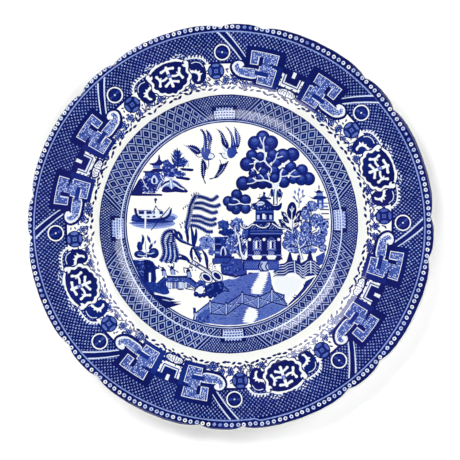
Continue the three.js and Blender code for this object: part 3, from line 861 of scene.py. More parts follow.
def boat():
    """A covered boat on rippled water."""
    for x, y, w, h, ink in ((-48, 6.4, 14.6, 3.6, 0.16), (-49, 2.4, 14, 3.4, 0.2), (-56, 4.6, 7, 1.6, 0.7),
            (-46, 3.6, 10, 1.1, 0.72), (-57, 2.6, 7.4, 0.7, 0.45), (-44, 2, 9, 0.6, 0.4),
            (-50, 0.9, 10, 0.5, 0.35), (-38, 5.6, 3, 1.8, 0.4), (-51, -0.6, 6, 0.35, 0.25),
            (-60, 6, 2.6, 2, 0.55)):
        disc(ink, x, y, w, h, n=18)
    blob(0.06, [(-60, 10.4), (-58, 10.6), (-50, 10.6), (-43, 9.6), (-39.6, 10), (-37.8, 12), (-38.4, 8.4),
                (-41.6, 6), (-48, 5.2), (-56, 5.6), (-59, 7.6)])
    blob(0.88, [(-61, 11.6), (-60.2, 8), (-57.6, 5.2), (-51, 3.9), (-44, 4), (-40.2, 5.2), (-37.6, 8.4),
                (-37.2, 12), (-38.3, 11.2), (-39.4, 8.4), (-42.6, 6.2), (-50, 5.3), (-56, 5.8),
                (-58.8, 8.4), (-59.4, 11.6)])
    for x0, x1 in ((-58, -54.6), (-53.2, -50), (-48.8, -47), (-45, -42.8)):
        rect(0.85, x0, 8.2, x1, 10.2)
    for x in (-57.2, -52, -48.4, -45):
        disc(0.8, x, 6.6, 1.1, 0.6, n=8)
    limbs(0.75, 0.4, [[(-50.2, 8.4), (-48, 11.6), (-47.4, 13.6)], [(-47.4, 13.6), (-45.8, 11), (-43.6, 9)],
            [(-58.4, 10.6), (-50, 10.6)], [(-46, 11.2), (-43.6, 10.6)]])
    foliage(-47.6, 11.6, 0.7, 1.7, 4, (0.5, 0.8), 0.7)
    blob(0.55, [(-48.6, 17.2), (-47.4, 18.4), (-46.2, 17.2), (-47, 16.4), (-47.2, 15), (-47.9, 15),
                (-48, 16.6)])
    blob(0.03, [(-47.6, 10.4), (-45.6, 8.8), (-44.4, 6.6), (-47, 6.4), (-48, 8)])
    stroke(0.03, [(-53.9, 9), (-53.8, 4), (-54, -0.6)], 1)
    stroke(0.92, [(-38.5, 12.5), (-43, 7.4), (-47.6, 1.2), (-50.4, -2)], 0.62)


def ragged(ink, left, right, depth=0.75):
    """A strip whose two sides are frayed across."""
    outline = []
    for line, side in ((left, -1), (right[::-1], 1)):
        for k, (p, _) in enumerate(walked(line, 0.62)):
            outline.append(p + np.array([side * (depth if k % 2 else -depth) * rng.uniform(0.4, 1.5), 0]))
    paint(ink, outline)


def ground():
    """The near bank, with its path and the pale shallows on its right."""
    arc = [mid(a, 63.4) for a in range(-53, -112, -3)]
    paint(0.38, [(-13.6, -47), (-10, -43.4), (-8, -41.8), (-13, -38.6), (-14, -35.4), (-9, -33.8),
                 (-4, -33.2), (1, -31.6), (8, -30.4), (12, -28.6), (24.4, -28.2), (25.2, -33),
                 (25.6, -36.6), (27.2, -39.8), (29, -43), (34.4, -48.8)] + arc + [(-14, -54)])
    for _ in range(240):
        x, y = rng.uniform(-12, 30), rng.uniform(-60, -31)
        if math.hypot(x - MID_X, y - MID_Y) < 61.5 and not (x > 24 and y > -47) and not (x < -2 and y > -38):
            leaf(rng.choice((0.28, 0.5, 0.55, 0.62)), x, y, rng.uniform(1.2, 3.2), rng.uniform(0.25, 0.5),
                 rng.uniform(-12, 12))
    ragged(0.01, [(17.6, -27.6), (16.4, -32), (14, -36), (12.8, -39), (13.6, -42.4)],
           [(22.8, -27.6), (22.6, -32), (21, -36), (19, -42)])
    ragged(0.01, [(10.6, -50.2), (8.8, -54), (7.6, -58), (7.4, -60.4)],
           [(14.6, -50.8), (16.4, -53), (16, -57), (13.4, -60)])
    # bank on the right and its pale shallows
    paint(0.02, [(28, -31), (40, -31), (45, -34), (43, -38), (36, -45), (30, -41), (27, -36)])
    paint(0.66, [(54, -30), (46.6, -34), (45, -38), (41, -43),
                 (36, -48)] + [mid(a, 63.4) for a in range(-54, -28, 3)])
    foliage(46.4, -37, 1.2, 2, 8, (0.7, 1), 0.9)
    foliage(41, -43.4, 3.4, 1.2, 16, (0.1, 0.95), 0.9)
    paint(0.52, [(53, -18.6), (58.6, -15.4), (58.9, -18), (57.4, -23), (54.8, -24.6), (53.4, -22)])


def fence():
    """A zigzag fence across the path."""
    top = [(-22, -53.6), (-13.4, -46.8), (-3.2, -48.6), (6.8, -41.6), (16.8, -44.2), (25.4, -40), (33, -42.6)]
    low = [(-19.6, -58.8), (-13.2, -54.2), (-3.2, -55.2), (6.8, -47.8), (17, -51.2), (25.4, -47),
           (35.2, -49.6)]
    for i in range(6):
        a, b, c, d = top[i], top[i + 1], low[i + 1], low[i]
        paint(0.33, [a, b, c, d])
        foliage((a[0] + c[0]) / 2, (a[1] + c[1]) / 2, abs(b[0] - a[0]) * 0.36, 2.2, 12, (0.1, 0.8), 0.8)
        for p, q in ((a, c), (d, b)):
            stroke(0.9, [p, q], 0.5)
            stroke(0.15, [(p[0], p[1] - 0.5), (q[0], q[1] - 0.5)], 0.3)
    for line in (top, low):
        for p, q in zip(line, line[1:]):
            stroke(0.3, [(p[0], p[1] - 0.55), (q[0], q[1] - 0.55)], 0.5)
            stroke(0.98, [p, q], 0.78)
    for x, y, h in ((-13.3, -47, 6.6), (-3.1, -48.4, 6.2), (6.9, -41.6, 5.6), (17, -44, 6.6),
            (25.5, -39.6, 6.8)):
        rect(0.95, x - 0.85, y - h, x + 0.85, y + 0.6)
        rect(0.16, x - 0.45, y - h, x + 0.45, y + 0.2)
        disc(0.85, x, y + 1, 0.75, n=7)
    stroke(0.7, [(25.6, -39), (25.9, -37.2), (25.2, -36)], 0.6)
    rect(0.6, 32.6, -44, 33.6, -42)
    limbs(0.85, 0.5, [[(28, -41), (31.6, -44.6), (35.4, -48.4)], [(27.4, -46.4), (31, -45.4), (33.4, -43.6)]])
    # small figure at the left end
    paint(0.5, [(-24.6, -58.2), (-21.4, -55.4), (-19.6, -54), (-13.4, -50.4), (-13.4, -60.4), (-19, -59.8)])
    foliage(-18, -57.4, 4.2, 2.2, 22, (0.3, 0.9), 1.1)
    blob(0.7, [(-24, -53), (-22.4, -51.4), (-22, -53.4), (-21.8, -56.4), (-22, -58.6), (-24, -57.6),
               (-23.4, -55.4)])
    blob(0.95, [(-24, -50.6), (-22.4, -50.6), (-22.2, -52.4), (-23.4, -53)])
    stroke(0.1, [(-22.8, -54), (-22.4, -56), (-22.8, -58)], 0.7)


def main_house():
    """The tea house of two floors on its terrace."""
    # terrace
    rect(0.5, 7.4, -27, 30, -20.8)
    diaper(8, -26, 18, -21.6, 1.5, 0.3)
    diaper(23, -26, 29.6, -21.6, 1.5, 0.35)
    rect(0.92, 7, -21, 31, -20.2)
    rect(0.88, 7.2, -27, 8.2, -20.4)
    paint(0.12, [(18.6, -21.6), (22.6, -21.6), (23.6, -28), (17, -28)])
    limbs(0.9, 0.75, [[(18.4, -22), (17, -24.8), (19, -27.8)], [(23, -22), (21.6, -24.8), (23.4, -27.6)],
            [(19.6, -22.4), (18.4, -24.8), (20.4, -27.4)]])
    rect(0.85, 18.4, -27.8, 22.4, -27)
    # ground floor
    rect(0.97, 10.1, -17.6, 31.5, -4.6)
    for x in (13.5, 22.5):
        rect(0.45, x, -14.6, x + 5.4, -6.2)
        diaper(x, -14.4, x + 5.4, -8, 1.25, 0.06)
        paint(0.97, [(x, -6), (x + 2.7, -6), (x, -8.2)])
        paint(0.97, [(x + 5.4, -6), (x + 2.7, -6), (x + 5.4, -8.2)])
        blob(0.97, [(x + 0.9, -8.6), (x + 2.7, -7), (x + 4.5, -8.6), (x + 2.7, -8)])
        rect(0.02, x + 1.7, -13.4, x + 2.8, -8.8)
        rect(0.97, x + 2.9, -13.2, x + 4.1, -9)
        rect(0.4, x - 0.2, -14.7, x + 5.8, -13.8)
        rect(0.55, x + 0.6, -17.6, x + 5, -15)
        diaper(x + 0.6, -17.6, x + 5, -15, 1.2, 0.1)
        rect(0.02, x + 0.9, -20.2, x + 4.5, -18.2)
    for x in (11.6, 20.6, 29.8):
        disc(0, x, -7.7, 0.95, n=12)
    for x0, x1 in ((9.2, 14.2), (18.2, 23.2), (27.2, 32.6)):
        paint(0.25, [(x0 + 0.9, -17.2), (x1 - 0.9, -17.2), (x1 - 0.4, -18.2), (x0 + 0.4, -18.2)])
        paint(0.97, [(x0 + 1.4, -17.9), (x1 - 1.4, -17.9), (x1, -20.3), (x0, -20.3)])
    paint(0.75, [(10.4, -1.6), (32, -1.4), (33, -4.2), (31.6, -5), (10.4, -5)])
    stroke(0.35, [(12, -4.1), (20, -3.9), (32.4, -4)], 0.6)
    stroke(0.45, [(12, -2.4), (20, -2.2), (32, -2.3)], 0.6)
    paint(0.9, [(8.6, -2.2), (10.8, -0.4), (13, 2.2), (14.6, 3.9), (27.2, 3.9), (28.4, 2.4), (31.6, -1),
                (32.4, -1.8), (10.6, -1.8)])
    for x in (12.6, 16.4, 20.2, 24, 27.6):
        limbs(0.25, 0.42, [[(x, -1.2), (x + 1.2, 0.8), (x + 2.6, 1.8)],
                [(x + 1.4, -1.2), (x + 2.4, 0), (x + 3.4, 0.6)]])
    for line in ([(5.6, 2.6), (6.4, 0.4), (8.4, -0.6), (10.8, -0.2), (13, 1.6), (15, 1.4)],
                 [(15.4, 1.8), (17, 0.4), (20, -0.4), (23, 0.6), (24, 2.4), (22.4, 2.8)],
                 [(25.6, 2.4), (28, 0.8), (30.4, -0.6), (33.4, -0.8)]):
        outlined([line], 0.62, 0.04, 0.95, 0.42)
    # upper floor
    for wall in ((0.8, 15.2, 3.8, 26.8, 11), (0.4, 15.2, 3.6, 26.8, 4.4), (0.97, 15.2, 2.6, 26.8, 3.6),
                 (0.95, 15.2, 7.2, 26.8, 8.6), (0.6, 15.4, 9, 26.6, 10.2)):
        rect(*wall)
    diaper(15.4, 9, 26.6, 10.4, 0.9, 0.4)
    for x in (16.2, 20.4, 24):
        rect(0.14, x, 5, x + 1.5, 7.6)
    rect(0.03, 19.5, 5.2, 21, 8.4)
    for x in (18.5, 22.4):
        rect(0.97, x, 4.4, x + 1.1, 9)
    # upper roof
    blob(0.88, [(12.2, 12.6), (14.4, 10.9), (20, 11), (26, 10.8), (29.4, 10.4), (31.4, 12), (31.9, 15.2),
                (30.6, 14.9), (29.6, 13.8), (26.8, 13.6), (25, 15.2), (22.4, 17.2), (18.2, 17.6),
                (16, 15.6), (13.4, 14.8)])
    foliage(18, 12.6, 3.4, 1.2, 22, (0.1, 0.6), 0.8)
    foliage(23.6, 13, 2, 1.4, 9, (0.3, 0.7), 0.8)
    blob(0.08, [(15.8, 14.2), (17, 15.8), (19.2, 16.2), (21, 15.2), (19.8, 14), (17.6, 13.6)])
    stroke(0.75, [(16.8, 14.6), (18.4, 15.2), (20, 14.8)], 0.4)
    blob(0.5, [(19.4, 17.4), (20, 20.6), (21.2, 20.6), (22, 17.6)])
    blob(0.92, [(16.2, 18.4), (17.4, 17.6), (24.4, 17.4), (24.8, 18.4), (23, 18.8), (20.6, 19.2),
                (18.4, 18.8)])
    foliage(18.6, 19.6, 1.6, 1.2, 9, (0.2, 0.9), 0.8)
    foliage(23.2, 19.8, 1.6, 1.4, 9, (0.2, 0.9), 0.8)
    blob(0.9, [(20, 20.8), (20.2, 22.2), (21.2, 22), (21.6, 20.8)])
    foliage(12.6, 12.8, 1.7, 2.2, 10, (0.1, 0.9), 0.9)


def middle():
    """The lesser house, the trees round it and the rocks it stands on."""
    for cluster in ((-5, 1.5, 4, 3.2, 34, (0.5, 0.95), 1.1, 0.5),
            (3.6, 1.5, 4.6, 4.6, 60, (0.15, 0.95), 1.2, 0.45), (2, -8, 4.6, 7, 90, (0.08, 0.95), 1.2, 0.42),
            (9, -4, 2.4, 5.4, 30, (0.15, 0.9), 1.1, 0.5), (6.8, -13.4, 3, 5.4, 46, (0.12, 1), 1.1, 0.6),
            (-3, -3, 5, 2.6, 32, (0.5, 1), 1.1, 0.72), (-15, -9.6, 5.2, 4.8, 60, (0.15, 0.85), 1.1, 0.28),
            (-12.4, -15.4, 2.2, 2.6, 16, (0.3, 0.95), 1, 0.4)):
        foliage(*cluster)
    rect(0.6, -10.4, -18.4, 0.4, -6)
    foliage(0.6, -11.4, 4.4, 5.6, 70, (0.06, 0.95), 1, 0.4)
    rect(0.9, -9.8, -10.2, -6.8, -7.2)
    rect(0.92, -10, -13.6, -6.2, -11)
    rect(0.3, -10, -10.9, -6.4, -10.3)
    blob(0.1, [(-6.8, -17.4), (-6.6, -14), (-5, -11.8), (-3.4, -14), (-3.2, -17.4)])
    blob(0.9, [(-6, -17.6), (-5.8, -14.4), (-5, -13), (-4.2, -14.4), (-4, -17.6)])
    rect(0.2, -10, -16.4, -7.4, -15.2)
    foliage(-2.4, -8, 2.4, 3, 26, (0.12, 1), 1)
    rect(0.88, -10.6, -19.4, 2, -18.3)
    paint(0.52, [(-11.4, -19.4), (1, -19.4), (7, -19.8), (7.4, -26), (9.8, -27), (10, -28.6), (4, -30.2),
                 (0, -29.4), (-3, -30), (-5.8, -29), (-6.2, -22.4), (-11.4, -22.6)])
    foliage(0, -25, 6.6, 3.6, 40, (0.35, 0.75), 1.4)
    stroke(0.93, [(-5.9, -28.6), (-3.4, -29.8), (0, -29.8), (3, -30.8), (7, -30.2), (10, -29.2)], 1.3)
    foliage(-3.4, -27.8, 2.4, 1.4, 12, (0.6, 1), 1.1)
    limbs(0.92, 0.6, [[(-11.4, -19.3), (-11.4, -22.6), (-6.4, -22.6)],
            [(-6.2, -22.6), (-5.8, -29), (-2, -30.2), (2, -31), (6, -30.4), (10, -29)],
            [(0, -19.4), (-2, -22.4), (-6, -22.2)]])
    disc(0.95, 12, -28.8, 1.6, 0.5, n=9)
    blob(0.04, [(-1, -31), (1.4, -32), (4, -31.4), (6, -30.8), (2, -32.6), (-1.4, -32.4)])
    outlined([[(4, -4), (4.8, -8), (5.6, -12), (6, -16), (7.6, -20)]], 0.95, 0.04, 0.85, 0.35)
    limbs(0.05, 0.6, [[(5.4, -10), (7, -8.6), (9, -7.6)], [(4.2, -5), (2.6, -2.6), (2.4, 0)],
            [(4.6, -6), (6, -3.4), (5.8, 0)], [(6, -15), (7.2, -17.6), (9, -20)],
            [(5, -9), (3.6, -11), (2, -12)]])
    limbs(0.9, 0.5, [[(5.8, -9.6), (8, -7), (9.6, -6)], [(2, -15), (4, -16.4), (5.8, -19)]])


def frond(line, width=2.3, ink=0.92):
    """A hanging branch with leaflets along both sides."""
    stroke(0.5, line, 0.9 * width)
    for p, d in walked(line, 1.12):
        turn = math.degrees(math.atan2(d[1], d[0]))
        for s in (1, -1):
            x, y = p + s * 0.36 * width * np.array([-d[1], d[0]])
            leaf(rng.choice((ink, ink, 0.8)), x, y, 0.74 * width, 0.76, turn + s * 66)
            x, y = p + 0.5 * d + s * 0.5 * width * np.array([-d[1], d[0]])
            leaf(0.05, x, y, 0.55 * width, 0.4, turn + s * 66)
    stroke(0.9, line, 0.3 * width)


def willow():
    """The leaning willow with its fronds, bare twigs, burrs and roots."""
    for line in ([(-24, 17.6), (-20.4, 19.2), (-16, 18.2), (-12.4, 16.9), (-10, 18.2), (-8.2, 19.9)],
                 [(-24, 14.8), (-18.4, 15.2), (-13.6, 13.6), (-9.4, 13), (-6.8, 14.6)],
                 [(-24.4, 12.2), (-19.4, 11.9), (-15, 10.2), (-11.4, 8.9), (-8.4, 10)],
                 [(-25.4, 7), (-20, 6.9), (-16, 5.3), (-11.6, 4.4), (-9.4, 6)],
                 [(-26.6, 4.2), (-20.4, 3.9), (-16, 2.2), (-12.4, 1.2), (-9.2, 2.6)],
                 [(-27, 1.4), (-22, 0.8), (-18, -1), (-14.8, -2.9), (-11.4, -2.6)],
                 [(-22, 20.2), (-24.6, 15.6), (-25.4, 10), (-26.6, 4.6), (-27.4, 0), (-28, -4)],
                 [(-24, 17), (-25.8, 13), (-26.4, 9), (-27.8, 3), (-28.4, -1)]):
        frond(line)
    for x, y in ((-24.8, 20), (-23.4, 21), (-21.8, 21.4), (-20.4, 21), (-30, 11.8), (-28.8, 12.8),
                 (-27.6, 13.6), (-32, 1.6), (-30.6, 2.6), (-29.2, 3.4), (-31.4, 0)):
        leaf(0.9, x, y, 2.1, 0.75, 110 + rng.uniform(-25, 15))
    # clump on the left
    for line in ([(-36.6, -2.4), (-39.8, -2.6), (-42.2, -5), (-43, -9), (-42, -13.6), (-42.2, -18),
                  (-44.4, -21.6)], [(-37.2, -4.4), (-39.4, -7.6), (-39.8, -12), (-39.2, -17),
            (-41.2, -22.4)], [(-36.2, -3.6), (-36.4, -8.6), (-35, -13), (-33.8, -18), (-35.4, -22)],
                 [(-37.4, -9.6), (-37, -14), (-36.6, -18.6), (-38.4, -22.6)]):
        frond(line, 2.7)
    limbs(0.1, 0.45, [[(-40.9, -11.4), (-40.5, -15), (-41.4, -19)],
            [(-38.2, -12), (-38, -16), (-38.8, -20)], [(-35.8, -14), (-35.4, -18), (-36, -21)]])
    limbs(0.9, 1.75, [[(-23.4, -12), (-27, -10.4), (-31, -8.8), (-34.4, -6.2), (-37.2, -2.8)],
            [(-30.6, -8.8), (-31.6, -5.4), (-33.6, -2.4)], [(-34, -6.4), (-34.4, -3.6), (-36.2, -1.2)],
            [(-27.2, -10.2), (-27.4, -5.6), (-28.6, 0)], [(-24.2, -11.6), (-24, -6), (-25.2, 0.6)],
            [(-23.2, -12), (-22.2, -6.6), (-22, -1)], [(-24.6, -12.8), (-25.2, -16.6), (-24.2, -20.8)],
            [(-18.6, -13.6), (-16, -18), (-15.2, -23), (-14.4, -28)],
            [(-32.6, -17), (-29, -18.8), (-26.4, -21.6), (-24, -23.4)],
            [(-34, -20), (-31, -19.4), (-28, -20.8)], [(-14.6, -22), (-15.6, -19), (-16.4, -16)]],
          (0.5, 0.5))
    limbs(0.92, 2.4, [[(-23.8, -12), (-22, -15), (-20.4, -18), (-19.4, -22)]], (1.2, 0.5))
    limbs(0.35, 0.5, [[(-23, -12.4), (-21.4, -15), (-19.8, -18.4)],
            [(-27, -9.8), (-30.6, -8.2), (-33.4, -5.8)]])
    foliage(-20.4, -13.4, 2, 1.8, 12, (0.3, 0.9), 0.9, 0.5)
    # trunk
    outlined([[(-25.6, -21), (-20.6, -24.2), (-15.2, -27.4), (-10.4, -31.6), (-5.4, -36.8)]], 1.5, 0.03,
             0.95, 0.55)
    stroke(0.85, [(-19, -24.6), (-14.4, -27.6), (-9.6, -32)], 0.35)
    for cluster in ((-22.8, -24.2, 3.6, 3, 34, (0.4, 1), 1), (-20.6, -18.6, 2.6, 3, 16, (0.5, 1), 1),
            (-19, -36, 3.4, 3, 24, (0.3, 1), 1, 0.5), (-12, -24.6, 2.6, 2, 16, (0.4, 1), 0.9)):
        foliage(*cluster)
    for x, y, turn in ((-15.4, -31.6, -38), (-8.8, -30.6, -42)):
        disc(0.95, x, y, 4.3, 2.9, turn, 22)
        disc(0.04, x, y, 3.8, 2.4, turn, 22)
        disc(0.97, x, y, 2.9, 1.6, turn, 18)
    stroke(0.9, [(-18.6, -28.4), (-19.8, -31.4), (-18, -34.6)], 0.45)
    # roots
    blob(0.88, [(-16, -37), (-12, -34.6), (-6, -34), (-4.6, -37), (-6, -41), (-9.6, -43), (-12.8, -44.2),
                (-15, -43), (-16.6, -40.6)])
    foliage(-11, -38.4, 5, 4, 42, (0.4, 1), 1.3)
    for x, y, r in ((-22, -42, 1.7), (-19.6, -43, 1.5), (-17.2, -42.6, 1.7), (-15, -41.8, 1.6),
            (-13, -43.4, 1.6), (-10.4, -42.6, 1.6)):
        disc(0.96, x, y, r, n=10)
        disc(0.6, x, y + 0.4, r * 0.4, n=7)
    limbs(0.92, 0.7, [[(-23, -41.6), (-22.4, -38.6), (-20, -36.6), (-17.4, -35.8)],
            [(-17.4, -40.6), (-16, -38.4), (-16.6, -36.4)], [(-5.4, -36.6), (-3.4, -38), (-1.6, -39.6)],
            [(-6.6, -41), (-4, -39.8), (-1, -40.4)]])
    blob(0.04, [(-21.4, -39.6), (-20.6, -37.6), (-18.4, -37), (-17.4, -38.6), (-18.4, -40.4), (-20.4, -40.8)])


def bridge():
    """The bridge and the stones by its foot, with three small figures crossing."""
    paint(0.62, [(-57, -34.6), (-48, -34.2), (-46.2, -35.4), (-41.6, -31), (-40.2, -32.4), (-40.8, -36),
                 (-39.4, -39), (-38.6, -41), (-40, -42.2), (-45, -42.4), (-50.4, -41)])
    foliage(-46, -38.2, 5.4, 2.8, 26, (0.5, 0.78), 1.3)
    paint(0.96, [(-53, -39), (-48, -42.2), (-42, -43.2), (-37, -44.2), (-35.2, -45.4), (-38.4, -46.2),
                 (-35, -46.6), (-30.8, -46.6), (-36, -47.6), (-31, -48), (-35.6, -49.6), (-40, -50.8),
                 (-44.6, -48)])
    blob(0.04, [(-48.4, -40.8), (-44, -42), (-39.6, -42.8), (-35.4, -43.8), (-36.6, -44.8), (-41, -43.6),
                (-46, -42.6)])
    stroke(0.12, [(-43.4, -45.4), (-40.4, -45.8), (-38, -46.6)], 0.6, (0.3, 0.3))
    blob(0.5, [(-40.4, -31.2), (-34, -31.4), (-27.6, -31.2), (-24, -33.4), (-20.4, -37), (-22, -38.6),
               (-25.4, -36.4), (-28.4, -34.4), (-34, -33.8), (-40, -34.6)])
    foliage(-34, -32.6, 6, 0.9, 20, (0.15, 0.9), 0.8)
    limbs(0.95, 1.15, [[(-40.6, -30.9), (-34, -31.2), (-27.4, -31)],
            [(-27, -31), (-24.4, -33), (-20.6, -36.6)]])
    limbs(0.9, 0.6, [[(-41.6, -30.8), (-44.4, -33.4), (-46.8, -35.6)],
            [(-40, -34.6), (-34, -34.2), (-29, -34.6), (-25.6, -37), (-22, -39.4)],
            [(-40.4, -32.6), (-43, -35), (-44.4, -37.4)]])
    for x, y0, y1, w in ((-38.8, -38.8, -34.6, 1.6), (-36.2, -38.6, -34.6, 1), (-34.2, -38.6, -34.4, 0.9),
            (-31.6, -38.8, -34.4, 2.6), (-28.4, -38.4, -34.6, 1.3), (-26.4, -38, -36, 1.2)):
        rect(0.85, x - w / 2 - 0.35, y0, x + w / 2 + 0.35, y1)
        rect(0.1 if w > 1.2 else 0.4, x - w / 2, y0 + 0.4, x + w / 2, y1)
    limbs(0.9, 0.5, [[(-33.8, -38.9), (-31.6, -39.2), (-29.6, -38.8)],
            [(-28.6, -38.6), (-25.6, -39), (-22.6, -39.6)]])
    # three small figures crossing
    for x, y, lean in ((-42.6, -27, 6), (-37.2, -26.2, -12), (-27, -27.6, -8)):
        leaf(0.97, x, y, 3.6, 2.6, 8 - lean * 3)
        disc(0.97, x - 0.2, y + 1.4, 0.75, n=8)
        blob(0.2, [(x - 0.6, y - 0.8), (x + 1.2, y - 0.6), (x + 2, y - 3.4), (x - 0.2, y - 3.6)])
        limbs(0.85, 0.42, [[(x - 0.8, y - 0.8), (x - 0.4, y - 3.6)],
                [(x + 1.4, y - 0.4), (x + 2.2, y - 3.6)]])
    limbs(0.9, 0.55, [[(-39.6, -24), (-38.2, -25.4), (-35.4, -26.8), (-33, -28.4)],
            [(-36, -22.4), (-36, -25.6)], [(-29.8, -25.2), (-29.4, -28.6)],
            [(-30, -25.4), (-27, -25.8), (-25.8, -24.8)], [(-45.2, -24.6), (-43.4, -25.6)]])


def left_tower():
    """The gate at the left with the shrubs behind it."""
    blob(0.62, [(-59, -10), (-57, -9), (-55.6, -11.6), (-55.8, -14.4), (-58, -14)])
    for x, y, n, w, turn, ink in ((-55.4, -8.4, 7.4, 1.9, 82, 0.8), (-51.6, -7.6, 6, 1.8, 112, 0.6),
            (-50.4, -12, 5, 2, 60, 0.75), (-58, -12.6, 6, 2.2, 102, 0.75), (-53.6, -12, 7, 0.9, 92, 0.9),
            (-47.8, -9.4, 3, 1.2, 60, 0.5)):
        leaf(ink, x, y, n, w, turn)
    fruit(-48.6, -16.2, 3, 0.1)
    disc(0.78, -57.6, -17, 3.4, 2.4, 0, 18)
    disc(0.5, -57.4, -16.2, 2, 0.9, 0, 12)
    disc(0.85, -52.6, -17.4, 2.6, 1.8, 0, 14)
    limbs(0.1, 0.55, [[(-53.6, -10), (-53.3, -15), (-53.2, -19.6)],
            [(-53.3, -16.4), (-50.8, -16.8), (-48.4, -16)], [(-53.3, -17.6), (-55.6, -18), (-58.6, -17.4)]])
    blob(0.62, [(-61.6, -20.6), (-57, -21), (-53, -20.4), (-49.4, -21.4), (-47.6, -24), (-45.4, -25.4),
                (-45, -26.4), (-47.4, -26.8), (-47.3, -34.6), (-55.2, -35), (-57.6, -31), (-59.6, -26.6)])
    blob(0.88, [(-54.6, -21.2), (-50.6, -21.6), (-48.2, -24), (-47.8, -30), (-47.6, -34.8), (-49.8, -34.8),
                (-50, -28.2), (-52, -28.2), (-52.2, -34.8), (-54.4, -34.6)])
    paint(0.04, [(-51.6, -28.6), (-50.4, -28.6), (-50.4, -34.9), (-51.6, -34.9)])
    for cluster in ((-57, -24.4, 2.8, 2.6, 30, (0.3, 1), 1.1), (-56, -30, 1.8, 3.4, 16, (0.35, 0.95), 1),
            (-51, -24, 2.4, 2.4, 10, (0.6, 1), 1)):
        foliage(*cluster)
    limbs(0.3, 0.4, [[(-58, -28), (-56, -27.6), (-54.8, -28.4)],
            [(-60.4, -20.8), (-56, -20.2), (-51, -20.6)]])
    limbs(0.9, 0.6, [[(-45.4, -23.6), (-45.8, -25.6), (-47.4, -26)], [(-56, -4.6), (-55.6, -6.4)]])


